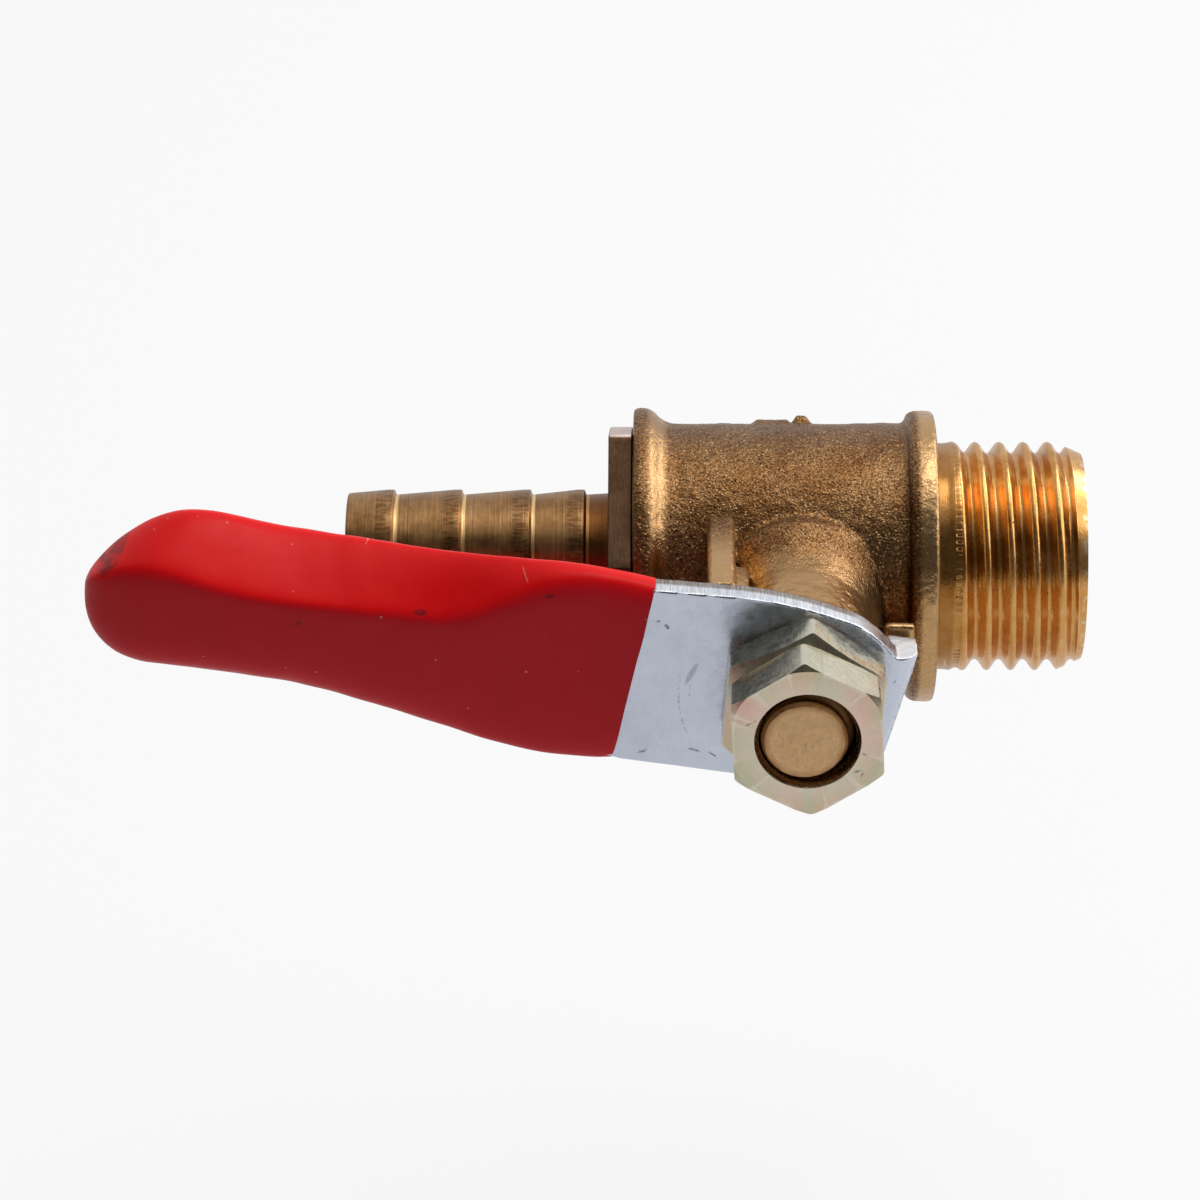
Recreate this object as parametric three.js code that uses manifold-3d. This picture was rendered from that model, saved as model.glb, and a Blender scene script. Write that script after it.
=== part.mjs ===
// Mini ball valve with a male pipe thread, a hose barb and a lever handle.
// Millimetres, +Z up. +X runs along the pipe from the hose barb to the thread, the stem points
// along -Y, and the origin is the centre of the stem's outer end face, on the lever's axis.
//
// Every piece is built in working coordinates centred on the ball: x along the pipe, y up, and z out
// along the stem. The exported group turns and shifts the whole valve into the frame above.

import * as THREE from 'three';
import { mergeVertices } from 'three/addons/utils/BufferGeometryUtils.js';
import Module from 'manifold-3d';

const wasm = await Module();
wasm.setup();

// ---------------------------------------------------------------- driving dimensions, millimetres

const RUNNING_GAP = 0.05; // radial clearance of every turning fit
const REST_GAP = 0.05; // between pieces that are clamped or screwed together
const ROUND = 32; // facets around a small round piece
const BODY_ROUND = 40; // facets around the body

// Flow path
const BALL_R = 4.5;
const BORE_R = 2.5;
const SEAT_R = 4.9;
const SEAT_BORE_R = 2.6;
const SEAT_LIP_R = 3.9; // where the conical face ends
const CAVITY_R = 5.0;
const CAVITY_END_X = 4.95;
const PORT_R = 3.0;

// Body casting
const BODY_LEFT_X = -9.18;
const BODY_RIGHT_X = 15.65;
const BARREL_R = 7.38;
const INLET_FLANGE_R = 8.25;
const INLET_FLANGE_WIDTH = 1.55;
const OUTLET_FLANGE_R = 8.1;
const OUTLET_FLANGE_X = 5.91;
const SHOULDER_X = 7.48;
const FLANGE_EDGE = 0.45; // softened rim of both flanges
const PORT_FLARE = 0.6; // chamfer at the mouth of the threaded end
const POCKET_EXTRA = 0.35; // how far the fitting's threaded pocket runs past the spigot
const CUT_MARGIN = 1; // how far a cutting shape reaches past the surface it opens
const COLLAR_R = 6.42; // plain collar behind the thread, clear of its crests
const COLLAR_END_X = 8.35;
const THREAD_R = 6.4; // crest of the parallel quarter-inch pipe thread
const THREAD_CHAMFER = 0.8;
const SPIGOT_R = 5.55; // male thread of the screwed-in barb fitting
const SPIGOT_END_X = -4.95;

// Stem housing and the two lever stops cast on the body
const BOSS_R = 4.0;
const BOSS_FOOT_R = 5.4;
const BOSS_TOP_Z = 14.0;
const BOSS_EDGE = 0.3;
const CAST_ROOT_Z = CAVITY_R + 1; // where shapes that stand on the barrel start, inside its wall
const POST = { left: -5.15, right: -3.65, bottom: 3.1, top: 5.5, z: 14.0 };
const LUG = { left: 4.4, right: 5.9, bottom: -1.2, crest: 1.85, foot: -0.65, z: 11.9, tipDepth: 0.4 };
const OPEN_STOP = { left: 3.5, right: 4.65, bottom: -2.9, top: -1.8, z: 13.9 };

// Stem
const STEM_LENGTH = 21.2; // ball centre to the stem's end face
const STEM_R = 2.5;
const STEM_COLLAR_R = 3.0;
const STEM_COLLAR_Z = [4.98, 6.2];
const WASHER_THICKNESS = 0.5;
const GROOVE_FLOOR_R = 1.65;
const GROOVE_WIDTH = 1.1;
const GROOVES_Z = [8.6, 10.9];
const ORING_SECTION_R = 0.41;
const ORING_LIFT = 0.02; // clearance to the groove's floor
const TANG_THICKNESS = 1.5;
const TANG_WIDTH = 4.4;
const TANG_Z = 3.15;
const TANG_OVERLAP = 0.3; // how far the tang reaches into the stem's collar
const STEM_FLATS = 3.8; // across the two flats the lever sits on
const STEM_CHAMFER = 0.35;
const FLATS_RUNOUT = 0.2; // how far the stem's flats start behind the lever

// Lever
const LEVER_ANGLE = -8.65; // degrees: the open lever leans its tip upwards
const PLATE_BACK_Z = 14.4;
const PLATE_THICKNESS = 1.5;
const HUB_END = 5.62;
const HUB_TOP = 5.12;
const HUB_BOTTOM = -5.42;
const TAB_INNER = 4.2;
const TAB_DEPTH = 3.5;
const TAB_TOP = 2.7;
const TAB_BOTTOM = -0.8;
const TAB_SLANT = 0.4; // the hub's end leans in by this much down the tab
const TAPER_START = 14; // where the blank starts to narrow towards the handle
const TAPER_STEP = 0.4; // how much it has narrowed there
const CHANNEL_START = 22; // where the tapering blank reaches the width of the folded channel
const CHANNEL_END = 33.5;
const CHANNEL_HALF_HEIGHT = 2.8;
const CHANNEL_DEPTH = 3.6;
const FOLD_OVERLAP = 0.5; // how far the folded flanges reach into the blank's thickness
const FOLD_LEAD = 4; // the folds start this far before the blank is down to the channel's width

// Dipped vinyl grip
const GRIP_START = 9.15;
const GRIP_START_LEAN = 0.45; // the sleeve starts earlier on its upper edge and later on its lower edge
const GRIP_END = 38.42;
const GRIP_FRONT_Z = 16.45;
const GRIP_HUB = { middle: -0.18, halfHeight: 5.73, halfDepth: 1.3 };
const GRIP_TIP = { middle: 0.05, halfHeight: 4.1, halfDepth: 2.85 };
const GRIP_BLEND = [11.6, 28.8];
const GRIP_MOUTH = { tuck: 0.3, length: 5 }; // the skin draws in towards its open end
const GRIP_SWELL = { at: 35, reach: 3.7, height: 1.35 }; // thumb rise on the upper edge near the tip
// The nose closes in earlier and flatter above than below.
const GRIP_NOSE = { top: { length: 8.4, roundness: 1.71 }, bottom: { length: 4.17, roundness: 2.17 } };
const GRIP_NOSE_DROP = 0.47; // how far the middle line sinks towards the tip
const GRIP_SQUARENESS = 0.7; // 1 is an ellipse, smaller is squarer
const GRIP_TIP_CUT = 0.005; // the tip ends in a tiny flat instead of a point
const GRIP_POCKET_GAP = 0.08;

// Nuts
const NUT_FLATS = 8;
const NUT_THICKNESS = 2.6;
const NUT_COUNTERSINK_R = 2.85;
const NUT_CORNER_DROP = 0.35;
const NUT_TURN = { lever_nut: -3, lock_nut: 4 }; // degrees

// Hose barb fitting
const BARB_TIP_X = -25.07;
const BARB_PEAKS_X = [-22.5, -18.75, -14.9];
const BARB_PEAK_R = 3.71;
const BARB_ROOT_R = 3.42;
const BARB_TIP_R = 3.5;
const BARB_SHANK_X = -11.82; // where the last ramp runs into the plain shank
const BARB_SHANK_R = 3.72; // a cut hose end lies on the collar without meeting a wider crest
const BARB_BORE_R = 2.4;
const HEX_LEFT_X = -10.52;
const HEX_FLATS = 14;
const HEX_LEAN = 22.3; // degrees: the upper flat leans away from the stem side
const BARB_DROP = 0.12; // length of the square drop behind each barb

// ---------------------------------------------------------------- geometry helpers

const radians = (degrees) => THREE.MathUtils.degToRad(degrees);

// A closed three.js geometry as a solid that can be joined and cut.
function solid(geometry) {
  const bare = geometry.clone();
  bare.deleteAttribute('normal');
  bare.deleteAttribute('uv');
  const merged = mergeVertices(bare, 1e-5);
  return new wasm.Manifold(new wasm.Mesh({
    numProp: 3,
    vertProperties: new Float32Array(merged.attributes.position.array),
    triVerts: new Uint32Array(merged.index.array),
  }));
}

// A solid turned back into a named mesh with its own material.
function mesh(name, shape, colour, roughness, metalness) {
  const result = shape.getMesh();
  const geometry = new THREE.BufferGeometry();
  geometry.setAttribute('position', new THREE.BufferAttribute(result.vertProperties, 3));
  geometry.setIndex(new THREE.BufferAttribute(result.triVerts, 1));
  geometry.computeVertexNormals();
  const material = new THREE.MeshStandardMaterial({ color: colour, roughness, metalness });
  const made = new THREE.Mesh(geometry, material);
  made.name = name;
  return made;
}

// Turned shapes: a profile of [position along the axis, radius], given in the direction of the axis.
function turned(profile, facets) {
  const points = profile.map(([along, radius]) => new THREE.Vector2(radius, along));
  return new THREE.LatheGeometry(points, facets);
}

const alongPipe = (profile, facets = ROUND) => solid(turned(profile, facets).rotateZ(-Math.PI / 2));
const alongStem = (profile, facets = ROUND) => solid(turned(profile, facets).rotateX(Math.PI / 2));

// A full bar of one radius as a turned profile.
const bar = (start, end, radius) => [[start, 0], [start, radius], [end, radius], [end, 0]];

// A box given by its two corners.
function block(low, high) {
  const size = high.map((value, axis) => value - low[axis]);
  const centre = high.map((value, axis) => (value + low[axis]) / 2);
  return solid(new THREE.BoxGeometry(...size).translate(...centre));
}

// A flat outline of [x, y] points, extruded from z = low to z = high.
function slab(outline, low, high) {
  const shape = new THREE.Shape(outline.map(([x, y]) => new THREE.Vector2(x, y)));
  const settings = { depth: high - low, bevelEnabled: false, curveSegments: 1 };
  return solid(new THREE.ExtrudeGeometry(shape, settings).translate(0, 0, low));
}

// A flat outline of [y, z] points, extruded from x = low to x = high.
function crossSlab(outline, low, high) {
  const shape = new THREE.Shape(outline.map(([y, z]) => new THREE.Vector2(y, z)));
  const settings = { depth: high - low, bevelEnabled: false, curveSegments: 1 };
  const geometry = new THREE.ExtrudeGeometry(shape, settings);
  return solid(geometry.rotateY(Math.PI / 2).rotateX(Math.PI / 2).translate(low, 0, 0));
}

// A regular hexagon around the origin; turn is the angle of its first corner.
function hexagon(flats, turn) {
  const cornerR = flats / Math.sqrt(3);
  return Array.from({ length: 6 }, (_, corner) => {
    const angle = turn + (corner * Math.PI) / 3;
    return [cornerR * Math.cos(angle), cornerR * Math.sin(angle)];
  });
}

// ---------------------------------------------------------------- body

// Turned outside of the body: barrel between two flanges, collar and male thread.
function bodyOutside() {
  const inletEnd = BODY_LEFT_X + INLET_FLANGE_WIDTH;
  const rim = FLANGE_EDGE / 2;
  return alongPipe([
    [BODY_LEFT_X, 0],
    [BODY_LEFT_X, INLET_FLANGE_R - FLANGE_EDGE],
    [BODY_LEFT_X + FLANGE_EDGE, INLET_FLANGE_R],
    [inletEnd - FLANGE_EDGE, INLET_FLANGE_R],
    [inletEnd, INLET_FLANGE_R - FLANGE_EDGE],
    [inletEnd + FLANGE_EDGE, BARREL_R],
    [OUTLET_FLANGE_X - FLANGE_EDGE, BARREL_R],
    [OUTLET_FLANGE_X, OUTLET_FLANGE_R - rim],
    [OUTLET_FLANGE_X + rim, OUTLET_FLANGE_R],
    [SHOULDER_X - rim, OUTLET_FLANGE_R],
    [SHOULDER_X, OUTLET_FLANGE_R - rim],
    [SHOULDER_X, COLLAR_R],
    [COLLAR_END_X, COLLAR_R],
    [COLLAR_END_X + rim, THREAD_R],
    [BODY_RIGHT_X - THREAD_CHAMFER, THREAD_R],
    [BODY_RIGHT_X, THREAD_R - THREAD_CHAMFER],
    [BODY_RIGHT_X, 0],
  ], BODY_ROUND);
}

// Round stem housing that flares into the barrel.
function stemHousing() {
  return alongStem([
    [CAVITY_R, 0],
    [CAVITY_R, BOSS_FOOT_R],
    [BARREL_R - BOSS_EDGE, BOSS_FOOT_R],
    [BARREL_R + (BOSS_FOOT_R - BOSS_R) / 2, (BOSS_R + BOSS_FOOT_R) / 2],
    [BARREL_R + (BOSS_FOOT_R - BOSS_R) * 1.5, BOSS_R],
    [BOSS_TOP_Z - BOSS_EDGE, BOSS_R],
    [BOSS_TOP_Z, BOSS_R - BOSS_EDGE],
    [BOSS_TOP_Z, 0],
  ]);
}

// Post that stops the closed lever.
function closedStop() {
  return block([POST.left, POST.bottom, CAST_ROOT_Z], [POST.right, POST.top, POST.z]);
}

// Web between the stem housing and the outlet flange, with a front rib whose back slopes away.
function stopWeb() {
  return crossSlab([
    [LUG.bottom, CAST_ROOT_Z],
    [LUG.foot, CAST_ROOT_Z],
    [LUG.foot, BARREL_R],
    [LUG.crest, LUG.z - LUG.tipDepth],
    [LUG.crest, LUG.z],
    [LUG.bottom, LUG.z],
  ], LUG.left, LUG.right);
}

// Small block beside the stem housing that the lever's tab rests on when the valve is open.
function openStop() {
  const { left, right, bottom, top, z } = OPEN_STOP;
  return block([left, bottom, CAST_ROOT_Z], [right, top, z]);
}

// Everything bored out of the body: seat pocket, fitting thread, port and stem passage.
function bodyBores() {
  const through = alongPipe([
    [BODY_LEFT_X - CUT_MARGIN, 0],
    [BODY_LEFT_X - CUT_MARGIN, SPIGOT_R + RUNNING_GAP],
    [SPIGOT_END_X + POCKET_EXTRA, SPIGOT_R + RUNNING_GAP],
    [SPIGOT_END_X + POCKET_EXTRA, CAVITY_R],
    [CAVITY_END_X, CAVITY_R],
    [CAVITY_END_X, PORT_R],
    [BODY_RIGHT_X - PORT_FLARE, PORT_R],
    [BODY_RIGHT_X + CUT_MARGIN, PORT_R + PORT_FLARE + CUT_MARGIN],
    [BODY_RIGHT_X + CUT_MARGIN, 0],
  ], BODY_ROUND);
  const washerTop = STEM_COLLAR_Z[1] + WASHER_THICKNESS + 2 * REST_GAP;
  const stemPassage = alongStem([
    [0, 0],
    [0, STEM_COLLAR_R + RUNNING_GAP],
    [washerTop, STEM_COLLAR_R + RUNNING_GAP],
    [washerTop, STEM_R + RUNNING_GAP],
    [BOSS_TOP_Z + CUT_MARGIN, STEM_R + RUNNING_GAP],
    [BOSS_TOP_Z + CUT_MARGIN, 0],
  ]);
  return through.add(stemPassage);
}

function valveBody() {
  const shape = bodyOutside()
    .add(stemHousing())
    .add(closedStop())
    .add(stopWeb())
    .add(openStop())
    .subtract(bodyBores());
  return mesh('valve_body', shape, 0xa8762f, 0.45, 0.9);
}

// ---------------------------------------------------------------- barb fitting

// Each barb climbs towards the body and drops square to the next root.
function barbProfile() {
  const profile = [[BARB_TIP_X, 0], [BARB_TIP_X, BARB_TIP_R]];
  for (const peak of BARB_PEAKS_X) {
    profile.push([peak, BARB_PEAK_R]);
    profile.push([peak + BARB_DROP, BARB_ROOT_R]);
  }
  profile.push([BARB_SHANK_X, BARB_SHANK_R], [SPIGOT_END_X - CUT_MARGIN, BARB_SHANK_R]);
  profile.push([SPIGOT_END_X - CUT_MARGIN, 0]);
  return profile;
}

function barbFitting() {
  const hexRight = BODY_LEFT_X - REST_GAP;
  const firstCorner = radians(30 - HEX_LEAN);
  const hex = crossSlab(hexagon(HEX_FLATS, firstCorner), HEX_LEFT_X, hexRight);
  const spigot = alongPipe(bar(hexRight - CUT_MARGIN / 2, SPIGOT_END_X, SPIGOT_R));
  const bore = alongPipe(bar(BARB_TIP_X - CUT_MARGIN, SPIGOT_END_X + CUT_MARGIN, BARB_BORE_R));
  const shape = alongPipe(barbProfile()).add(hex).add(spigot).subtract(bore);
  return mesh('barb_fitting', shape, 0xa87f48, 0.35, 0.9);
}

// ---------------------------------------------------------------- ball and seats

// Drilled ball with the slot the stem's tang turns it by.
function ball() {
  const sphere = solid(new THREE.SphereGeometry(BALL_R, ROUND, ROUND / 2).rotateX(Math.PI / 2));
  const bore = alongPipe(bar(-BALL_R - CUT_MARGIN, BALL_R + CUT_MARGIN, BORE_R));
  const slotHalf = TANG_THICKNESS / 2 + RUNNING_GAP;
  const slot = block([-slotHalf, -BALL_R, TANG_Z - REST_GAP], [slotHalf, BALL_R, BALL_R + CUT_MARGIN]);
  return mesh('ball', sphere.subtract(bore).subtract(slot), 0xc8ccd0, 0.12, 1.0);
}

// Ring with a conical face that touches the ball at 45 degrees; side is -1 for inlet, 1 for outlet.
function seatRing(name, side) {
  const coneReach = (BALL_R + RUNNING_GAP) * Math.SQRT2;
  const outerFace = CAVITY_END_X - REST_GAP;
  const ring = [
    [coneReach - SEAT_BORE_R, SEAT_BORE_R],
    [coneReach - SEAT_LIP_R, SEAT_LIP_R],
    [coneReach - SEAT_LIP_R, SEAT_R],
    [outerFace, SEAT_R],
    [outerFace, SEAT_BORE_R],
    [coneReach - SEAT_BORE_R, SEAT_BORE_R],
  ];
  const geometry = turned(ring, ROUND).rotateZ((-side * Math.PI) / 2);
  return mesh(name, solid(geometry), 0xf2f2ee, 0.5, 0.0);
}

// ---------------------------------------------------------------- stem and its seals

// Everything of the stem that is turned, from the root of the tang to the end face.
function stemProfile() {
  const tangRoot = TANG_THICKNESS / 2;
  const profile = [[TANG_Z + CUT_MARGIN, 0], [TANG_Z + CUT_MARGIN, tangRoot], [STEM_COLLAR_Z[0], tangRoot]];
  profile.push([STEM_COLLAR_Z[0], STEM_COLLAR_R], [STEM_COLLAR_Z[1], STEM_COLLAR_R]);
  profile.push([STEM_COLLAR_Z[1], STEM_R]);
  for (const start of GROOVES_Z) {
    profile.push([start, STEM_R], [start, GROOVE_FLOOR_R]);
    profile.push([start + GROOVE_WIDTH, GROOVE_FLOOR_R], [start + GROOVE_WIDTH, STEM_R]);
  }
  profile.push([STEM_LENGTH - STEM_CHAMFER, STEM_R], [STEM_LENGTH, STEM_R - STEM_CHAMFER]);
  profile.push([STEM_LENGTH, 0]);
  return profile;
}

// Waste beside one of the two flats the lever sits on; side is -1 or 1.
function stemFlatCut(side) {
  const size = [2 * STEM_R, STEM_R, PLATE_THICKNESS + FLATS_RUNOUT];
  const middle = side * (STEM_FLATS / 2 + STEM_R / 2);
  const geometry = new THREE.BoxGeometry(...size)
    .translate(0, middle, PLATE_BACK_Z - FLATS_RUNOUT + size[2] / 2)
    .rotateZ(radians(LEVER_ANGLE));
  return solid(geometry);
}

function stem() {
  const tang = block(
    [-TANG_THICKNESS / 2, -TANG_WIDTH / 2, TANG_Z],
    [TANG_THICKNESS / 2, TANG_WIDTH / 2, STEM_COLLAR_Z[0] + TANG_OVERLAP],
  );
  const shape = alongStem(stemProfile()).add(tang).subtract(stemFlatCut(1)).subtract(stemFlatCut(-1));
  return mesh('stem', shape, 0xb7976f, 0.35, 0.9);
}

function thrustWasher() {
  const low = STEM_COLLAR_Z[1] + REST_GAP;
  const innerR = STEM_R + RUNNING_GAP;
  const outerR = STEM_COLLAR_R;
  const high = low + WASHER_THICKNESS;
  const ring = [[low, innerR], [low, outerR], [high, outerR], [high, innerR], [low, innerR]];
  return mesh('stem_thrust_washer', alongStem(ring), 0xf0efe8, 0.5, 0.0);
}

function oRing(name, grooveStart) {
  const sectionFacets = 10;
  const centreR = GROOVE_FLOOR_R + ORING_SECTION_R + ORING_LIFT;
  const torus = new THREE.TorusGeometry(centreR, ORING_SECTION_R, sectionFacets, ROUND);
  torus.translate(0, 0, grooveStart + GROOVE_WIDTH / 2);
  return mesh(name, solid(torus), 0x1b1b1c, 0.7, 0.0);
}

// ---------------------------------------------------------------- lever, grip and nuts

// Outline of the flat blank, seen from the stem's end: hub on the right, handle to the left.
function leverOutline(grow = 0) {
  const handleHalf = CHANNEL_HALF_HEIGHT + grow;
  return [
    [HUB_END - 0.75, -3.4],
    [HUB_END - TAB_SLANT, TAB_BOTTOM],
    [HUB_END, TAB_TOP],
    [HUB_END - 1.1, TAB_TOP - 0.1],
    [3.66, 3.44],
    [2.34, 4.32],
    [-0.62, 4.9],
    [-3.3, HUB_TOP],
    [-TAPER_START, HUB_TOP - TAPER_STEP + grow],
    [-CHANNEL_START, handleHalf + GRIP_HUB.middle],
    [-CHANNEL_END - grow, handleHalf + GRIP_HUB.middle],
    [-CHANNEL_END - grow, -handleHalf + GRIP_HUB.middle],
    [-CHANNEL_START, -handleHalf + GRIP_HUB.middle],
    [-TAPER_START, HUB_BOTTOM + TAPER_STEP - grow],
    [-9, HUB_BOTTOM],
    [1, HUB_BOTTOM],
    [3.4, -4.9],
  ];
}

// The lever stock: flat blank plus the two flanges folded back along the handle.
function leverStock(grow) {
  const front = PLATE_BACK_Z + PLATE_THICKNESS;
  let stock = slab(leverOutline(grow), PLATE_BACK_Z - grow, front + grow);
  for (const side of [-1, 1]) {
    const outer = GRIP_HUB.middle + side * (CHANNEL_HALF_HEIGHT + grow);
    const inner = GRIP_HUB.middle + side * (CHANNEL_HALF_HEIGHT - PLATE_THICKNESS - grow);
    stock = stock.add(block(
      [-CHANNEL_END - grow, Math.min(outer, inner), front - CHANNEL_DEPTH - grow],
      [-CHANNEL_START - FOLD_LEAD + grow, Math.max(outer, inner), front - FOLD_OVERLAP],
    ));
  }
  return stock;
}

function leverPlate() {
  const front = PLATE_BACK_Z + PLATE_THICKNESS;
  const tab = slab([
    [TAB_INNER, TAB_BOTTOM],
    [HUB_END - TAB_SLANT, TAB_BOTTOM],
    [HUB_END, TAB_TOP],
    [TAB_INNER, TAB_TOP],
  ], front - TAB_DEPTH, front - FOLD_OVERLAP);
  const roundHole = alongStem(bar(PLATE_BACK_Z - CUT_MARGIN, front + CUT_MARGIN, STEM_R + RUNNING_GAP));
  const holeHalf = STEM_FLATS / 2 + RUNNING_GAP;
  const holeLow = [-2 * STEM_R, -holeHalf, PLATE_BACK_Z - CUT_MARGIN];
  const holeHigh = [2 * STEM_R, holeHalf, front + CUT_MARGIN];
  const hole = roundHole.intersect(block(holeLow, holeHigh));
  return mesh('lever_plate', leverStock(0).add(tab).subtract(hole), 0xb4b8c5, 0.3, 0.9);
}

// Share of the nose already passed at a distance from the lever's axis: 0 before it, 1 at the tip.
const noseTravel = (distance, length) => Math.max(0, (distance - GRIP_END + length) / length);

// How far the section has closed in at a distance from the lever's axis, on one side of the nose.
function noseShrink(distance, { length, roundness }) {
  return Math.max(0, 1 - noseTravel(distance, length) ** roundness) ** (1 / roundness);
}

// One ring of a rounded-rectangle section, as [x, y, z] points.
function gripRing(distance, pointsAround) {
  const blend = THREE.MathUtils.smoothstep(distance, ...GRIP_BLEND);
  const size = (key) => THREE.MathUtils.lerp(GRIP_HUB[key], GRIP_TIP[key], blend);
  const shrink = {
    top: noseShrink(distance, GRIP_NOSE.top),
    bottom: noseShrink(distance, GRIP_NOSE.bottom),
  };
  const centreZ = GRIP_FRONT_Z - size('halfDepth');
  const middle = size('middle') - GRIP_NOSE_DROP * noseTravel(distance, GRIP_NOSE.top.length) ** 2;
  const toMouth = Math.max(0, 1 - (distance - GRIP_START) / GRIP_MOUTH.length);
  const halfHeight = size('halfHeight') - GRIP_MOUTH.tuck * toMouth ** 2;
  const swell = GRIP_SWELL.height * Math.exp(-(((distance - GRIP_SWELL.at) / GRIP_SWELL.reach) ** 2));
  return Array.from({ length: pointsAround }, (_, k) => {
    const angle = (2 * Math.PI * k) / pointsAround;
    const up = Math.sign(Math.sin(angle)) * Math.abs(Math.sin(angle)) ** GRIP_SQUARENESS;
    const out = Math.sign(Math.cos(angle)) * Math.abs(Math.cos(angle)) ** GRIP_SQUARENESS;
    const above = (halfHeight + swell) * shrink.top;
    const below = halfHeight * shrink.bottom;
    const rise = up * (up > 0 ? above : below);
    const depth = (size('halfDepth') * out * (shrink.top + shrink.bottom)) / 2;
    const lean = GRIP_START_LEAN * up * (1 - blend);
    return [lean - distance, middle + rise, centreZ + depth];
  });
}

// Skin over a row of rings, closed by a fan at both ends.
function loft(rings) {
  const around = rings[0].length;
  const centre = (ring) => [0, 1, 2].map((axis) => ring.reduce((sum, p) => sum + p[axis], 0) / around);
  const vertices = [...rings.flat(), centre(rings[0]), centre(rings[rings.length - 1])];
  const faces = [];
  for (let k = 0; k < around; k += 1) {
    const next = (k + 1) % around;
    for (let row = 0; row + 1 < rings.length; row += 1) {
      const here = row * around;
      const beyond = here + around;
      faces.push(here + k, here + next, beyond + next, here + k, beyond + next, beyond + k);
    }
    faces.push(rings.length * around, next, k);
    const last = (rings.length - 1) * around;
    faces.push(rings.length * around + 1, last + k, last + next);
  }
  const geometry = new THREE.BufferGeometry();
  geometry.setAttribute('position', new THREE.Float32BufferAttribute(vertices.flat(), 3));
  geometry.setIndex(faces);
  return solid(geometry);
}

function gripSleeve() {
  const around = 24;
  const stations = 14;
  const noseStations = 7;
  const rings = [];
  const noseLength = GRIP_NOSE.top.length;
  const noseStart = GRIP_END - noseLength;
  for (let k = 0; k < stations; k += 1) {
    rings.push(gripRing(GRIP_START + ((noseStart - GRIP_START) * k) / stations, around));
  }
  for (let k = 0; k < noseStations; k += 1) {
    const angle = (Math.PI / 2) * (k / noseStations);
    rings.push(gripRing(noseStart + noseLength * Math.sin(angle), around));
  }
  rings.push(gripRing(GRIP_END - GRIP_TIP_CUT, around));
  const shape = loft(rings).subtract(leverStock(GRIP_POCKET_GAP));
  return mesh('grip_sleeve', shape, 0xc3161d, 0.35, 0.0);
}

// Thin hexagon nut with both faces chamfered and the hole countersunk.
function nut(name, startZ) {
  const endZ = startZ + NUT_THICKNESS;
  const cornerR = NUT_FLATS / Math.sqrt(3);
  const holeR = STEM_R + RUNNING_GAP;
  const hex = slab(hexagon(NUT_FLATS, radians(90 + NUT_TURN[name])), startZ, endZ);
  const chamfers = alongStem([
    [startZ, 0],
    [startZ, NUT_FLATS / 2],
    [startZ + NUT_CORNER_DROP, cornerR],
    [endZ - NUT_CORNER_DROP, cornerR],
    [endZ, NUT_FLATS / 2],
    [endZ, 0],
  ]);
  const flare = NUT_COUNTERSINK_R - holeR;
  const hole = alongStem([
    [startZ - CUT_MARGIN, 0],
    [startZ - CUT_MARGIN, holeR],
    [endZ - flare, holeR],
    [endZ, NUT_COUNTERSINK_R],
    [endZ + CUT_MARGIN, NUT_COUNTERSINK_R],
    [endZ + CUT_MARGIN, 0],
  ]);
  return mesh(name, hex.intersect(chamfers).subtract(hole), 0xb9a58a, 0.3, 0.9);
}

// ---------------------------------------------------------------- assembly

const valve = new THREE.Group();

const lever = new THREE.Group();
lever.rotation.z = radians(LEVER_ANGLE);
lever.add(leverPlate(), gripSleeve());

const firstNutZ = PLATE_BACK_Z + PLATE_THICKNESS + REST_GAP;
const secondNutZ = firstNutZ + NUT_THICKNESS + REST_GAP;

valve.add(valveBody(), barbFitting());
valve.add(ball(), seatRing('seat_ring_inlet', -1), seatRing('seat_ring_outlet', 1));
valve.add(stem(), thrustWasher());
valve.add(oRing('stem_oring_lower', GROOVES_Z[0]), oRing('stem_oring_upper', GROOVES_Z[1]));
valve.add(lever, nut('lever_nut', firstNutZ), nut('lock_nut', secondNutZ));

valve.rotation.x = Math.PI / 2;
valve.position.y = STEM_LENGTH;

export default valve;
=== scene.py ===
"""Looks of a mini brass ball valve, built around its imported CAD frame.

Every visible piece is made here in fine detail. Shapes are written in the valve's working
coordinates, in millimetres: x along the pipe, y up, z out along the stem, with zero at the ball's
centre. to_row() turns them into the frame's metres.
"""

import math

import bmesh
import bpy
from mathutils import Matrix, Vector, noise


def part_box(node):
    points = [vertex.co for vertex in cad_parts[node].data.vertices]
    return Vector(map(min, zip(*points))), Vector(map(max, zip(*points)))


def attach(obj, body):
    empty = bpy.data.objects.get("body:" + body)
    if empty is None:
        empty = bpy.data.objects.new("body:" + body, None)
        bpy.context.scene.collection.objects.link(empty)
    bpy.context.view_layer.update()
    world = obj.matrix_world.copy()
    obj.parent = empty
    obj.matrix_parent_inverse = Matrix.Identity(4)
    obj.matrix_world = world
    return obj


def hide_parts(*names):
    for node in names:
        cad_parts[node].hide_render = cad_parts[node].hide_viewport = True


MM = 0.001

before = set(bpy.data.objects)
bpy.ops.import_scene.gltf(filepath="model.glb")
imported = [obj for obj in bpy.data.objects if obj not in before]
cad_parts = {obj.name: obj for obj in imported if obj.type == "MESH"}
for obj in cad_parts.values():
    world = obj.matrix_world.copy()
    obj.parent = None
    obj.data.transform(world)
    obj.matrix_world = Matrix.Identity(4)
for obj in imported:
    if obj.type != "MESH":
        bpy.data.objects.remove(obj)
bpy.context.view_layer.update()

# ---------------------------------------------------------------- sizes taken from the CAD boxes

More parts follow.
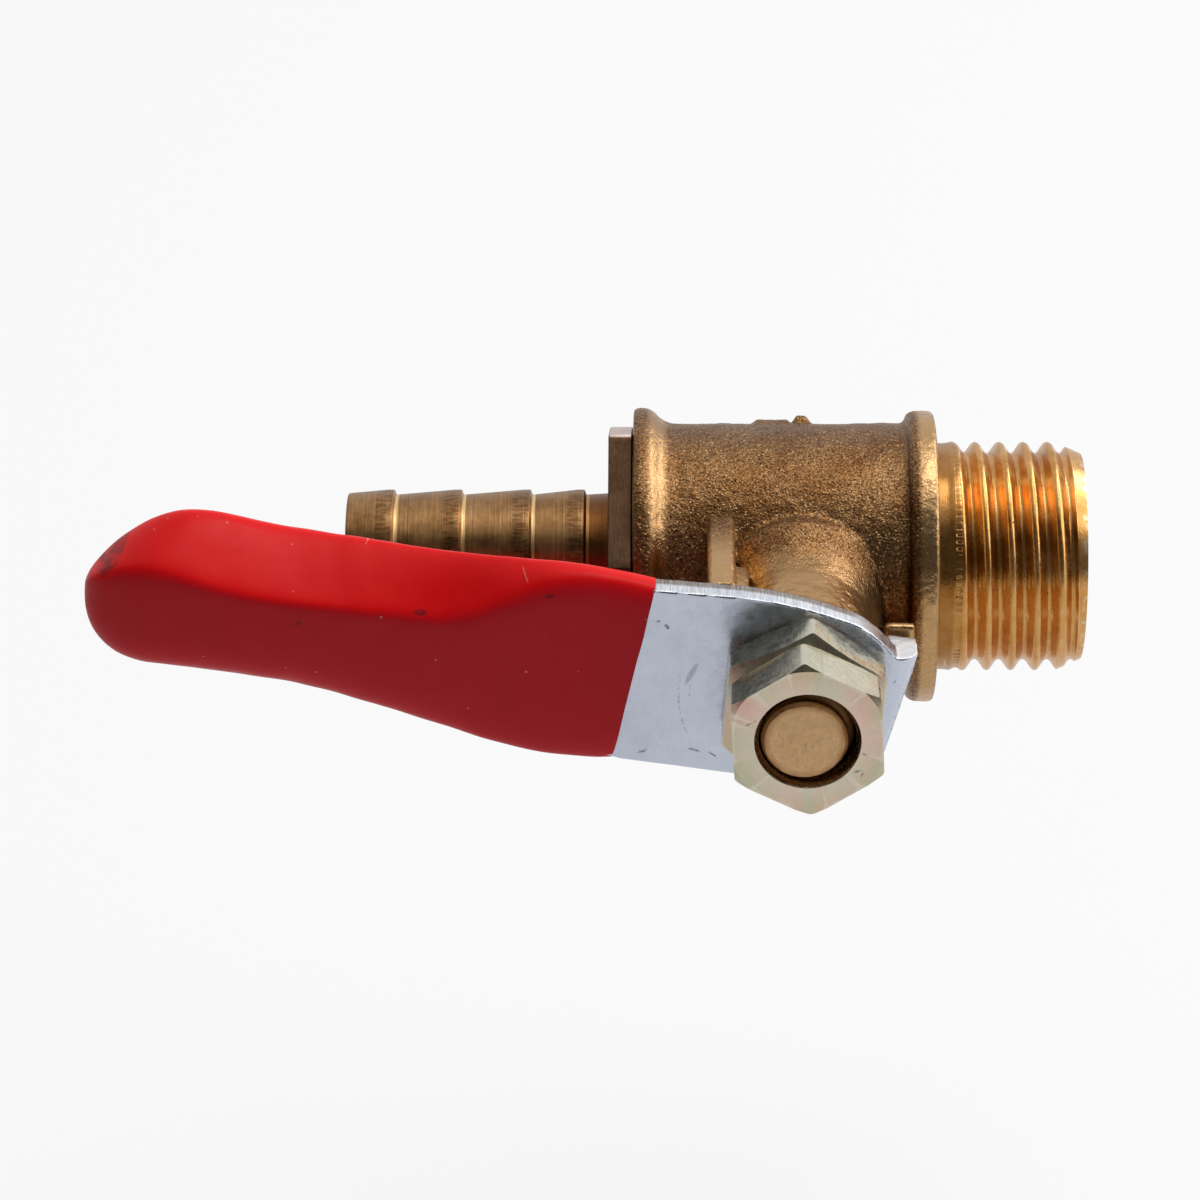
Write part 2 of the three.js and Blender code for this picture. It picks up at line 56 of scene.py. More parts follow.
barb_low, barb_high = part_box("barb_fitting")
body_low, body_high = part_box("valve_body")
sleeve_low, sleeve_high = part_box("grip_sleeve")
plate_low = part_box("lever_plate")[0]

PIPE_Y = (barb_low.y + barb_high.y) / 2  # the pipe's axis, in metres
STEM_LENGTH = PIPE_Y / MM  # ball centre to the stem's end face
BODY_LEFT = body_low.x / MM
BODY_RIGHT = body_high.x / MM
BARB_TIP = barb_low.x / MM
PLATE_FRONT = (PIPE_Y - plate_low.y) / MM
SLEEVE_FRONT = (PIPE_Y - sleeve_low.y) / MM
INLET_FLANGE_R = body_high.z / MM

# ---------------------------------------------------------------- sizes of the details, millimetres

BARREL_R = 7.38
OUTLET_FLANGE_R = 8.1
OUTLET_FLANGE_LEFT = 5.91
SHOULDER = 7.48
INLET_COVE_X = -7.85  # hollow between the inlet flange and the barrel, smoother there and painted paler as a highlight
OUTLET_BEAD_X = 6.95
HOUSING_GROUND = (0.0108, 0.0139)  # frame Y over which the ground end of the stem housing fades, metres
GATE_ANGLE = math.radians(-27.5)  # the casting gate sits behind the top of the barrel
GATE_PAD_HEIGHT = 0.24
GATE_STUB_HEIGHT = 0.48
BOSS_R = 3.98
BOSS_TOP = 14.0
BOSS_ROOT_R = 5.2
BOSS_ROOT = 3.0  # where the stem housing starts inside the barrel

# Blocks cast on the body, as (x, y, z) of two corners.
UPPER_STOP = ((-5.15, 3.1, 6.0), (-3.65, 5.5, 14.0))
LOWER_STOP = ((3.5, -2.9, 6.0), (4.65, -1.8, 13.9))
STOP_LUG = ((-3.9, 3.0, 8.5), (-2.9, 3.75, 13.2))
WEB_SIDE = ((6.0, -1.2), (11.9, -1.2), (11.9, 1.85), (11.5, 1.85), (BARREL_R, -0.6), (6.0, -0.6))  # (z, y)
WEB_LEFT = 4.4
WEB_RIGHT = 5.9

# Machined inside of the body.
PORT_R = 3.0
SEAT_POCKET_R = 5.0
SEAT_POCKET_END = 4.95
FITTING_BORE_R = 5.6
FITTING_BORE_END = -4.6
STEM_BORE_R = 2.55
STEM_FOOT_BORE_R = 3.05
STEM_FOOT_BORE_END = 6.8

THREAD_PITCH = 1.337
THREAD_CREST_R = 6.38
THREAD_ROOT_R = 5.72
THREAD_FIRST_CREST = 9.9
COLLAR_R = 6.3
COLLAR_END = 8.3
CHATTER_AT = 8.62  # row of tool marks round the end of the collar
THREAD_MOUTH_R = 3.75
THREAD_MOUTH_DEPTH = 0.75

STEM_R = 2.49
STEM_THREAD_R = 2.5
STEM_THREAD_PITCH = 0.8
STEM_THREAD_DEPTH = 0.42
STEM_THREAD_START = 16.0
STEM_NECK_R = 2.27  # the plain end beyond the thread
STEM_TIP_R = 2.1
STEM_FOOT = (4.98, 6.2)
STEM_FOOT_R = 3.0
SEAL_GROOVES = (10.9, 8.6)
SEAL_GROOVE_WIDTH = 1.1
SEAL_GROOVE_R = 1.65
TANG = ((-0.75, -2.2, 3.15), (0.75, 2.2, 5.1))
STEM_FACETS = 72
TIP_SHIFT = 0.16

HEX_LEFT = -10.52
HEX_FLATS = 14.0
HEX_LEAN = math.radians(22.3)  # the upper flat leans away from the stem side
BARB_PEAKS = (-22.5, -18.75, -14.9, -11.9)
BARB_PEAK_R = 3.71
BARB_ROOT_R = 3.43
BARB_BORE_R = 2.4
SHANK_MIDDLE = -11.15
SPIGOT_R = 5.5
SPIGOT_END = -4.95

PLATE_THICKNESS = 1.5
LEVER_ANGLE = math.radians(-8.65)
HUB_END = 5.62
TAB_TOP = 2.7
TAB_BOTTOM = -0.8
TAB_DEPTH = 3.5
HUB_END_LEAN = 0.122  # the hub's end leans in by this share of the way down
BEND_START = 4.3
ROLL_R = 1.4
ROLL_DEPTH = 0.95
LEVER_HOLE_R = 2.52
STOCK_TIP = -33.5  # the steel ends here, inside the grip
FOLD_START = -26.0
FOLD_MIDDLE = -1.2
FOLD_OUTSIDE = 1.7
FOLD_INSIDE = 0.4
FOLD_DEPTH = 3.6

GRIP_START = 9.15
GRIP_END = 38.42
GRIP_HUB = {"middle": -0.18, "half_height": 5.73, "half_depth": 1.3}
GRIP_TIP = {"middle": 0.05, "half_height": 4.1, "half_depth": 2.85}
GRIP_BLEND = (11.6, 28.8)
GRIP_SQUARENESS = 0.7
GRIP_LIP_R = 0.35
MOUTH_DEPTH = 1.2
MOUTH_INSET = 0.75
MOUTH_LEAN = 0.45
MOUTH_TUCK = 0.3
MOUTH_LENGTH = 5.0
SWELL_AT = 35.0
SWELL_REACH = 3.7
SWELL_HEIGHT = 1.35
NOSE_TOP = (8.4, 1.71)  # length and roundness
NOSE_BOTTOM = (4.17, 2.17)
NOSE_DROP = 0.47
ROOF_BLEND = (11.0, 20.0)
ROOF_TOP = 1.16
ROOF_FALL = 0.82  # the handle's upper side slopes down to a ridge on its front
ROOF_NOSE_LOSS = 0.7
ROOF_START = 0.8
ROOF_SOFTNESS = 0.15
BACK_GROOVE = 0.9  # hollow left by the open back of the folded handle

# The inner nut first, then the outer one.
NUT_FLATS = (8.25, 7.8)
NUT_FACE_R = (3.85, 4.1)
NUT_TURN = (-5, 3)
NUT_SHIFT = (-0.12, 0.0)
NUT_THICKNESS = 2.6
NUT_GAP = 0.05
NUT_HOLE_R = 2.55
NUT_MOUTH_R = NUT_HOLE_R + 0.23
NUT_CHAMFER = math.radians(30)
NUT_ROUNDING = 0.12
NUT_SPOKES = 6  # rows of faces from the flat face out to the corner

# ---------------------------------------------------------------- camera, light and floor

CAMERA_ELEVATION = math.radians(27.5)
CAMERA_AZIMUTH = math.radians(1.0)
CAMERA_ROLL = math.radians(-0.45)
CAMERA_DISTANCE = 262.0
CAMERA_LENS = 141.0
FRAME_RIGHT = -11.05  # centre of the picture beside the ball's centre, millimetres
FRAME_UP = -2.45

# Direction, distance, size (metres) and power of each square light.
KEY_LIGHT = ((0.25, 0.14, 0.99), 0.6, 0.3, 0.85)
RIGHT_LIGHT = ((1.0, 0.12, 0.42), 0.45, 0.34, 0.75)
BACK_LIGHT = ((0.66, 0.5, 0.56), 0.5, 0.18, 0.5)
ROOM_BRIGHT_SIDE = (0.2, 0.75, 0.62)
ROOM_DARK = 0.08
ROOM_BRIGHT = 0.8
BACKDROP = 0.95

FLOOR_HALF_WIDTH = 3.0
FLOOR_CLEARANCE = 0.5
FLOOR_ALBEDO = 0.78
FLOOR_GLOW = 0.8  # share of the floor's own white that the camera sees

# ---------------------------------------------------------------- mesh helpers


def to_row(point):
    """A point in working coordinates (millimetres) as a point of the frame (metres)."""
    x, y, z = point
    return Vector((x * MM, PIPE_Y - z * MM, y * MM))


def from_row(point):
    """A point of the frame in metres as working coordinates in millimetres."""
    return (point.x / MM, point.z / MM, (PIPE_Y - point.y) / MM)


def smoothstep(value, low, high):
    t = min(1.0, max(0.0, (value - low) / (high - low)))
    return t * t * (3 - 2 * t)


def lerp(a, b, t):
    return a + (b - a) * t


def soft_minimum(a, b, softness):
    """The smaller of two numbers, blended smoothly where they are nearly equal."""
    return -softness * math.log(math.exp(-a / softness) + math.exp(-b / softness))


def around_pipe(along, radius, angle):
    return (along, radius * math.cos(angle), radius * math.sin(angle))


def around_stem(along, radius, angle):
    return (radius * math.cos(angle), radius * math.sin(angle), along)


def softened(corners, steps=5):
    """Corners (a, b, reach): each is cut back by its reach and replaced with a smooth arc."""
    points = []
    for i, (a, b, reach) in enumerate(corners):
        here = Vector((a, b))
        if reach == 0 or i in (0, len(corners) - 1):
            points.append(here)
            continue
        back = Vector(corners[i - 1][:2]) - here
        ahead = Vector(corners[i + 1][:2]) - here
        start = here + back.normalized() * min(reach, back.length * 0.49)
        end = here + ahead.normalized() * min(reach, ahead.length * 0.49)
        for k in range(steps + 1):
            t = k / steps
            points.append(start * (1 - t) ** 2 + here * (2 * t * (1 - t)) + end * t**2)
    return [(p.x, p.y) for p in points]


def revolve(profile, place, facets=96, closed=False):
    """Vertices and faces of a profile [(along, radius)] turned about the pipe or the stem."""
    rows = len(profile)
    verts = []
    for k in range(facets):
        angle = 2 * math.pi * k / facets
        verts += [place(along, radius, angle) for along, radius in profile]
    faces = []
    for k in range(facets):
        here = k * rows
        beyond = ((k + 1) % facets) * rows
        for j in range(rows if closed else rows - 1):
            up = (j + 1) % rows
            faces.append((here + j, here + up, beyond + up, beyond + j))
    return verts, faces


def joined_rings(rings, count, closed=False):
    """Faces between neighbouring rings of count vertices each."""
    faces = []
    for row in range(rings if closed else rings - 1):
        here = row * count
        beyond = ((row + 1) % rings) * count
        for k in range(count):
            n = (k + 1) % count
            faces.append((here + k, here + n, beyond + n, beyond + k))
    return faces


def prism(outline, low, high, place):
    """Vertices and faces of a closed flat outline pushed from low to high; place(a, b, level)."""
    count = len(outline)
    verts = [place(a, b, level) for level in (low, high) for a, b in outline]
    faces = [tuple(range(count)), tuple(range(count, 2 * count))]
    return verts, faces + joined_rings(2, count)


def make_mesh(name, shapes, crease=math.radians(35)):
    """One mesh from several (vertices, faces) shapes given in working coordinates."""
    bm = bmesh.new()
    for verts, faces in shapes:
        made = [bm.verts.new(to_row(v)) for v in verts]
        for face in faces:
            corners = [made[i] for i in face]
            bm.faces.new(corners)
    bmesh.ops.remove_doubles(bm, verts=bm.verts, dist=1e-7)
    bmesh.ops.dissolve_degenerate(bm, edges=bm.edges, dist=1e-8)
    bmesh.ops.recalc_face_normals(bm, faces=bm.faces)
    sharpen(bm, crease)
    mesh = bpy.data.meshes.new(name)
    bm.to_mesh(mesh)
    bm.free()
    return mesh


def sharpen(bm, crease):
    """Smooth shading that breaks at edges sharper than the crease angle."""
    for face in bm.faces:
        face.smooth = True
    for edge in bm.edges:
        edge.smooth = edge.calc_face_angle(0) < crease


def sharpened(mesh, crease):
    """The mesh with its shading broken at edges sharper than the crease angle."""
    bm = bmesh.new()
    bm.from_mesh(mesh)
    sharpen(bm, crease)
    bm.to_mesh(mesh)
    bm.free()
    return mesh


def placed(name, data):
    """A new object in the scene that holds the given mesh, light or camera."""
    thing = bpy.data.objects.new(name, data)
    bpy.context.scene.collection.objects.link(thing)
    return thing


def add_piece(name, mesh, material, body, slot, *replaced):
    """Puts a mesh in the scene as a piece that rides on a body and stands for CAD nodes."""
    mesh.materials.clear()
    mesh.materials.append(material)
    piece = placed(name, mesh)
    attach(piece, body)
    if replaced:
        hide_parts(*replaced)


def evaluated(mesh, add_modifiers):
    """The mesh after a helper has put modifiers on a temporary object that holds it."""
    holder = placed("holder", mesh)
    add_modifiers(holder)
    graph = bpy.context.evaluated_depsgraph_get()
    result = bpy.data.meshes.new_from_object(holder.evaluated_get(graph))
    bpy.data.objects.remove(holder)
    return result


def fused(name, shapes, voxel, smoothing):
    """Overlapping closed shapes melted into one skin with softened corners, as in a casting."""
    mesh = make_mesh(name, shapes)

    def melt(holder):
        remesh = holder.modifiers.new("remesh", "REMESH")
        remesh.mode = "VOXEL"
        remesh.voxel_size = voxel * MM
        soften = holder.modifiers.new("soften", "SMOOTH")
        soften.factor = 0.5
        soften.iterations = smoothing

    return evaluated(mesh, melt)


def bored(mesh, shapes):
    """The mesh with the given closed shapes cut out of it."""
    cutter = placed("cutter", make_mesh("cutter", shapes))

    def cut(holder):
        boolean = holder.modifiers.new("bore", "BOOLEAN")
        boolean.operation = "DIFFERENCE"
        boolean.solver = "EXACT"
        boolean.object = cutter

    result = evaluated(mesh, cut)
    bpy.data.objects.remove(cutter)
    return result


def roughened(mesh, layers, crease=math.radians(40), faced=0.0):
    """Pushes vertices along their normals by layers of (height, grain size) noise, millimetres.

    Faces turned square to the pipe lose the share of it given by faced.
    """
    bm = bmesh.new()
    bm.from_mesh(mesh)
    bm.normal_update()
    for vert in bm.verts:
        lift = 0.0
        for height, grain in layers:
            lift += height * noise.noise(vert.co / (grain * MM))
        keep = 1 - faced * smoothstep(abs(vert.normal.x), 0.8, 0.95)
        vert.co += vert.normal * lift * keep * MM
    sharpen(bm, crease)
    bm.to_mesh(mesh)
    bm.free()
    return mesh


# ---------------------------------------------------------------- material helpers


def connect(tree, source, target):
    """Sets a node's input to a number, a colour, a vector or another node's output."""
    if isinstance(source, bpy.types.NodeSocket):
        tree.links.new(source, target)
    elif target.type != "RGBA":
        target.default_value = source
    elif isinstance(source, tuple):
        target.default_value = (*source, 1.0)
    else:
        target.default_value = (source, source, source, 1.0)


def add_node(tree, kind, output, inputs=None, **settings):
    """Adds a shader node with its settings and inputs, and gives the named output."""
    node = tree.nodes.new("ShaderNode" + kind)
    for name, value in settings.items():
        setattr(node, name, value)
    for name, source in (inputs or {}).items():
        connect(tree, source, node.inputs[name])
    return node.outputs[output]


class Look:
    """A node material under construction: short names for the nodes the looks below share."""

    def __init__(self, name, metallic, roughness):
        self.material = bpy.data.materials.new(name)
        self.material.use_nodes = True
        self.tree = self.material.node_tree
        self.shader = self.tree.nodes["Principled BSDF"]
        self.shader.inputs["Metallic"].default_value = metallic
        self.shader.inputs["Roughness"].default_value = roughness
        self.place = self.node("TexCoord", "Object")

    def node(self, kind, output, inputs=None, **settings):
        return add_node(self.tree, kind, output, inputs, **settings)

    def grain(self, size, detail=2.0, roughness=0.5, stretch=(1, 1, 1), distortion=0.0):
        """Noise whose features are about size millimetres across, stretched along an axis."""
        scale = tuple(1 / (size * MM * s) for s in stretch)
        place = self.node("Mapping", "Vector", {"Vector": self.place, "Scale": scale})
        return self.node("TexNoise", "Fac", {
            "Vector": place,
            "Scale": 1.0,
            "Detail": detail,
            "Roughness": roughness,
            "Distortion": distortion,
        })

    def patches(self, size, low, high, to_low=0.0, to_high=1.0, **noise):
        """Grain of that size, rescaled from low..high to to_low..to_high."""
        return self.spread(self.grain(size, **noise), low, high, to_low, to_high)

    def specks(self, size, low, high, strength=1.0):
        """Scattered dots about size millimetres apart that fade out from low to high."""
        inputs = {"Vector": self.place, "Scale": 1 / (size * MM)}
        return self.spread(self.node("TexVoronoi", "Distance", inputs), low, high, strength, 0.0)

    def rings(self, size, detail=3.0):
        """Turning marks: noise that changes only along the pipe."""
        inputs = {"W": self.coordinate("X"), "Scale": 1 / (size * MM), "Detail": detail}
        return self.node("TexNoise", "Fac", inputs, noise_dimensions="1D")

    def ramp(self, value, *stops):
        """Colour ramp through (position, colour or grey) stops."""
        colour = self.node("ValToRGB", "Color", {"Fac": value})
        elements = colour.node.color_ramp.elements
        while len(elements) < len(stops):
            elements.new(0.5)
        for element, (position, shade) in zip(elements, stops):
            element.position = position
            element.color = (*shade, 1) if isinstance(shade, tuple) else (shade, shade, shade, 1)
        return colour

    def mix(self, share, first, second, blend="MIX"):
        inputs = {"Factor": share, 6: first, 7: second}
        return self.node("Mix", 2, inputs, data_type="RGBA", blend_type=blend)

    def shaded(self, share, colour, tint):
        """The colour times the tint, by that share."""
        return self.mix(share, colour, tint, "MULTIPLY")

    def math(self, operation, first, second=0.0):
        return self.node("Math", 0, {0: first, 1: second}, operation=operation)

    def spread(self, value, low, high, to_low, to_high):
        """Value rescaled from low..high to to_low..to_high, clamped."""
        inputs = {"Value": value, "From Min": low, "From Max": high, "To Min": to_low, "To Max": to_high}
        return self.node("MapRange", "Result", inputs)

    def rise(self, value, low, high):
        """0 at low, 1 at high."""
        return self.spread(value, low, high, 0.0, 1.0)

    def fall(self, value, low, high):
        """1 at low, 0 at high."""
        return self.spread(value, low, high, 1.0, 0.0)

    def times(self, first, second):
        return self.math("MULTIPLY", first, second)

    def most(self, first, second):
        return self.math("MAXIMUM", first, second)

    def coordinate(self, axis):
        """X, Y or Z of the place on the piece, in metres."""
        return self.node("SeparateXYZ", axis, {"Vector": self.place})

    def from_stem(self):
        """Distance from the stem's axis, in metres."""
        across = self.coordinate("X")
        height = self.coordinate("Z")
        squares = self.math("ADD", self.times(across, across), self.times(height, height))
        return self.math("SQRT", squares)

    def facing(self, axis):
        """How far the surface faces along X, Y or Z, from -1 to 1."""
        return self.node("SeparateXYZ", axis, {"Vector": self.node("NewGeometry", "Normal")})

    def square_to(self, axis):
        """1 where the surface lies square to X, Y or Z, 0 where it runs along it."""
        return self.math("ABSOLUTE", self.facing(axis))

    def band(self, value, centre, half_width, softness):
        """1 within half_width of the centre, falling to 0 over the softness."""
        offset = self.math("ABSOLUTE", self.math("SUBTRACT", value, centre))
        return self.fall(offset, half_width, half_width + softness)

    def near(self, point, low, high):
        """1 closer than low to a point of the frame, 0 beyond high, in millimetres."""
        distance = self.node("VectorMath", "Value", {0: self.place, 1: point}, operation="DISTANCE")
        return self.fall(distance, low * MM, high * MM)

    def along(self, direction, point):
        """Distance in millimetres past a point (working coordinates) in a direction of the frame."""
        inputs = {0: self.place, 1: direction / MM}
        distance = self.node("VectorMath", "Value", inputs, operation="DOT_PRODUCT")
        return self.math("SUBTRACT", distance, direction.dot(to_row(point)) / MM)

    def mark(self, point, angle, half_length, half_width):
        """1 inside a lens-shaped mark, turned by an angle in degrees in the lever's plane."""
        turn = math.radians(angle)
        lengthwise = self.along(Vector((math.cos(turn), 0, math.sin(turn))), point)
        crosswise = self.along(Vector((-math.sin(turn), 0, math.cos(turn))), point)
        lengthwise = self.math("POWER", self.math("DIVIDE", lengthwise, half_length), 2.0)
        crosswise = self.math("POWER", self.math("DIVIDE", crosswise, half_width), 2.0)
        return self.fall(self.math("ADD", lengthwise, crosswise), 0.5, 1.0)

    def marks(self, *places):
        """All the given marks together."""
        total = self.mark(*places[0])
        for place in places[1:]:
            total = self.most(total, self.mark(*place))
        return total

    def edges(self, low=0.5, high=0.56):
        """1 on outer edges and corners, 0 on flats, from the mesh's pointiness."""
        return self.rise(self.node("NewGeometry", "Pointiness"), low, high)

    def bump(self, height, depth, strength=1.0, under=None):
        """Bump from a height, depth millimetres deep, on top of another bump if given."""
        inputs = {"Distance": depth * MM, "Strength": strength, "Height": height}
        if under is not None:
            inputs["Normal"] = under
        return self.node("Bump", "Normal", inputs)

    def finish(self, colour, roughness, normal):
        for name, source in (("Base Color", colour), ("Roughness", roughness), ("Normal", normal)):
            connect(self.tree, source, self.shader.inputs[name])
        return self.material


# ---------------------------------------------------------------- materials


def cast_brass():
    """Shot-blasted sand casting: sparkling grains on brown, smoother and paler where it was ground, with
    painted highlights in the inlet cove and on the outlet bead.
    """
    look = Look("cast_brass", 1.0, 0.4)
    x = look.coordinate("X")
    fine = look.grain(0.13, detail=2.0, roughness=0.65)
    gathered = look.patches(0.28, 0.4, 0.62, 0.1, 1.0, detail=2.0)
    grains = look.times(look.specks(0.17, 0.08, 0.45), gathered)
    tone = look.ramp(
        fine,
        (0.32, (0.060, 0.026, 0.010)),
        (0.50, (0.225, 0.112, 0.042)),
        (0.68, (0.350, 0.190, 0.078)),
    )
    tone = look.mix(look.times(grains, 0.62), tone, (0.95, 0.64, 0.36))
    stain = look.patches(3.0, 0.42, 0.68, 0.0, 0.8, detail=4.0, roughness=0.6)
    tone = look.shaded(stain, tone, (0.66, 0.50, 0.36))
    crowd = look.patches(1.8, 0.5, 0.64, 0.0, 0.9, detail=3.0)
    pores = look.times(look.specks(0.42, 0.12, 0.19), crowd)
    tone = look.mix(pores, tone, (0.02, 0.012, 0.008))
    # painted highlight: narrow paler bands in the inlet cove and on the outlet bead stand for the light they
    # catch; these bands and the stem housing's ground end are also smoother
    cove = look.times(look.band(x, INLET_COVE_X * MM, 0.3 * MM, 0.35 * MM), 0.6)
    bead = look.band(x, OUTLET_BEAD_X * MM, 0.3 * MM, 0.3 * MM)
    housing = look.fall(look.coordinate("Y"), *HOUSING_GROUND)
    ground_and_highlight = look.most(look.most(cove, bead), housing)
    tone = look.mix(look.times(ground_and_highlight, 0.62), tone, (0.74, 0.46, 0.21))
    faced = look.rise(look.square_to("X"), 0.93, 0.97)
    colour = look.mix(faced, tone, (0.66, 0.45, 0.20))
    rough = look.mix(ground_and_highlight, look.spread(fine, 0.3, 0.7, 0.46, 0.3), 0.27)
    height = look.math("ADD", look.times(grains, 0.5), fine)
    height = look.math("SUBTRACT", height, look.times(pores, 0.7))
    keep = look.spread(faced, 0.0, 1.0, 1.0, 0.08)
    keep = look.times(keep, look.spread(ground_and_highlight, 0.0, 1.0, 1.0, 0.4))
    normal = look.bump(look.grain(0.6, detail=3.0), 0.035, 0.5)
    normal = look.bump(look.times(height, keep), 0.05, 0.9, normal)
    return look.finish(colour, rough, normal)


def thread_brass():
    """Freshly cut brass: fine tool marks, warm tarnish in the roots, chatter marks on the collar."""
    look = Look("thread_brass", 1.0, 0.22)
    x = look.coordinate("X")
    marks = look.rings(0.05)
    patch = look.grain(1.6, detail=5.0, roughness=0.65)
    colour = look.ramp(
        patch,
        (0.3, (0.50, 0.22, 0.05)),
        (0.5, (0.65, 0.33, 0.10)),
        (0.75, (0.74, 0.44, 0.19)),
    )
    colour = look.mix(look.edges(0.52, 0.58), colour, (0.92, 0.70, 0.42))
    roots = look.spread(look.edges(0.42, 0.5), 0.0, 1.0, 0.6, 0.0)
    colour = look.mix(roots, colour, (0.34, 0.13, 0.025))
    around = look.math("ARCTAN2", look.coordinate("Z"), look.math("SUBTRACT", look.coordinate("Y"), PIPE_Y))
    dashes = look.math("SINE", look.times(around, 104.0))
    chatter = look.rise(dashes, 0.1, 0.5)
    chatter = look.times(chatter, look.band(x, CHATTER_AT * MM, 0.13 * MM, 0.06 * MM))
    chatter = look.times(chatter, look.patches(1.5, 0.42, 0.6, 0.1, 0.9, detail=3.0))
    colour = look.mix(look.times(chatter, 0.45), colour, (0.16, 0.07, 0.02))
    specks = look.times(look.specks(0.7, 0.06, 0.1), look.patches(2.4, 0.5, 0.6))
    colour = look.mix(specks, colour, (0.08, 0.035, 0.015))
    collar = look.spread(x, (COLLAR_END - 0.1) * MM, (COLLAR_END + 0.7) * MM, 0.7, 0.0)
    colour = look.shaded(collar, colour, (0.50, 0.44, 0.40))
    rim = look.rise(x, (BODY_RIGHT - 0.32) * MM, (BODY_RIGHT - 0.18) * MM)
    ragged = look.times(rim, look.patches(0.5, 0.5, 0.62, 0.0, 0.6, detail=4.0))
    ragged = look.times(ragged, look.fall(look.facing("X"), 0.5, 0.8))
    colour = look.mix(ragged, colour, (0.80, 0.66, 0.48))
    rough = look.spread(patch, 0.35, 0.75, 0.17, 0.34)
    normal = look.bump(marks, 0.008, 0.5)
    normal = look.bump(look.grain(0.12, detail=2.0), 0.012, 0.5, normal)
    normal = look.bump(look.times(chatter, -1.0), 0.05, 1.0, normal)
    return look.finish(colour, rough, normal)


def turned_brass():
    """Turned brass gone dull: rings, drag marks, dark bands before each barb's edge, bright roots."""
    look = Look("turned_brass", 1.0, 0.3)
    x = look.coordinate("X")
    marks = look.rings(0.09, detail=5.0)
    patch = look.grain(2.0, detail=5.0, roughness=0.65)
    drag = look.grain(0.12, detail=3.0, stretch=(1, 8, 8))
    ringed = look.ramp(marks, (0.3, 0.4), (0.7, 1.0))
    dragged = look.ramp(drag, (0.35, 0.45), (0.65, 1.0))
    shade = look.mix(0.5, ringed, dragged, "MULTIPLY")
    base = look.ramp(
        patch,
        (0.32, (0.29, 0.14, 0.05)),
        (0.52, (0.46, 0.245, 0.10)),
        (0.8, (0.58, 0.34, 0.16)),
    )
    colour = look.mix(0.7, base, shade, "MULTIPLY")
    knurl = look.grain(0.14, detail=2.0, stretch=(5, 1, 1))
    for peak in BARB_PEAKS:
        before = look.band(x, (peak - 0.5) * MM, 0.4 * MM, 0.08 * MM)
        before = look.times(before, look.spread(knurl, 0.42, 0.55, 0.75, 0.1))
        colour = look.shaded(before, colour, (0.42, 0.36, 0.30))
        root = look.band(x, (peak + 0.2) * MM, 0.06 * MM, 0.05 * MM)
        colour = look.mix(root, colour, (0.84, 0.55, 0.25))
    shank = look.band(x, SHANK_MIDDLE * MM, 0.6 * MM, 0.03 * MM)
    colour = look.shaded(shank, colour, (0.56, 0.42, 0.32))
    nicks = look.specks(1.3, 0.03, 0.06, 0.8)
    colour = look.mix(nicks, colour, (0.10, 0.05, 0.02))
    rough = look.spread(patch, 0.3, 0.7, 0.26, 0.42)
    normal = look.bump(marks, 0.012, 0.6)
    normal = look.bump(drag, 0.008, 0.6, normal)
    return look.finish(colour, rough, normal)


def dull_brass():
    """Bar stock of the hexagon collar: dark drawn skin, with the upward-facing flat painted as a bright
    pinkish highlight.
    """
    look = Look("dull_brass", 1.0, 0.34)
    patch = look.grain(1.2, detail=4.0, roughness=0.6)
    drawn = look.grain(0.08, detail=3.0, stretch=(1, 6, 6))
    colour = look.ramp(patch, (0.3, (0.075, 0.038, 0.02)), (0.7, (0.145, 0.078, 0.042)))
    colour = look.mix(look.spread(drawn, 0.4, 0.6, 0.35, 0.0), colour, (0.03, 0.016, 0.01))
    # painted highlight: the flat that faces up gets a bright, streaked pinkish colour
    top = look.rise(look.facing("Z"), 0.86, 0.91)
    highlight_streaks = look.grain(0.15, detail=3.0, stretch=(6, 1, 1))
    painted_top_highlight = look.ramp(highlight_streaks, (0.35, (0.55, 0.41, 0.37)), (0.65, (0.76, 0.60, 0.54)))
    colour = look.mix(top, colour, painted_top_highlight)
    scratches = look.specks(0.9, 0.03, 0.05, 0.6)
    colour = look.mix(scratches, colour, (0.42, 0.26, 0.14))
    rough = look.spread(patch, 0.3, 0.7, 0.3, 0.45)
    normal = look.bump(drawn, 0.012, 0.6)
    return look.finish(colour, rough, look.bump(look.grain(0.5, detail=3.0), 0.02, 0.5, normal))


def stem_brass():
    """Faced brass end: matt and mottled, with painted shade round the rim of its flat face, darker on its
    sides.
    """
    look = Look("stem_brass", 1.0, 0.45)
    patch = look.grain(0.7, detail=4.0)
    fine = look.grain(0.08, detail=2.0)
    colour = look.ramp(
        patch,
        (0.3, (0.60, 0.38, 0.19)),
        (0.55, (0.72, 0.47, 0.25)),
        (0.8, (0.80, 0.55, 0.31)),
    )
    dots = look.specks(0.5, 0.1, 0.2, 0.35)
    colour = look.mix(dots, colour, (0.30, 0.17, 0.08))
    flank = look.spread(look.square_to("Y"), 0.75, 0.95, 0.75, 0.0)
    colour = look.mix(flank, colour, (0.30, 0.15, 0.06))
    # painted shade: the outer ring of the flat end face is darkened, standing for the shading of a rounded
    # rim
    rim = look.math("SUBTRACT", 1.0, look.near(to_row((-TIP_SHIFT, 0, STEM_LENGTH)), 1.75, STEM_TIP_R))
    rim = look.times(rim, look.patches(0.9, 0.35, 0.6, 0.4, 1.0, detail=3.0))
    colour = look.mix(rim, colour, (0.36, 0.15, 0.05))
    mottle = look.patches(0.35, 0.42, 0.62, 0.0, 0.6, detail=4.0, roughness=0.7)
    colour = look.mix(mottle, colour, (0.50, 0.31, 0.15))
    normal = look.bump(fine, 0.02, 0.5)
    return look.finish(colour, look.spread(patch, 0.3, 0.7, 0.4, 0.55), normal)


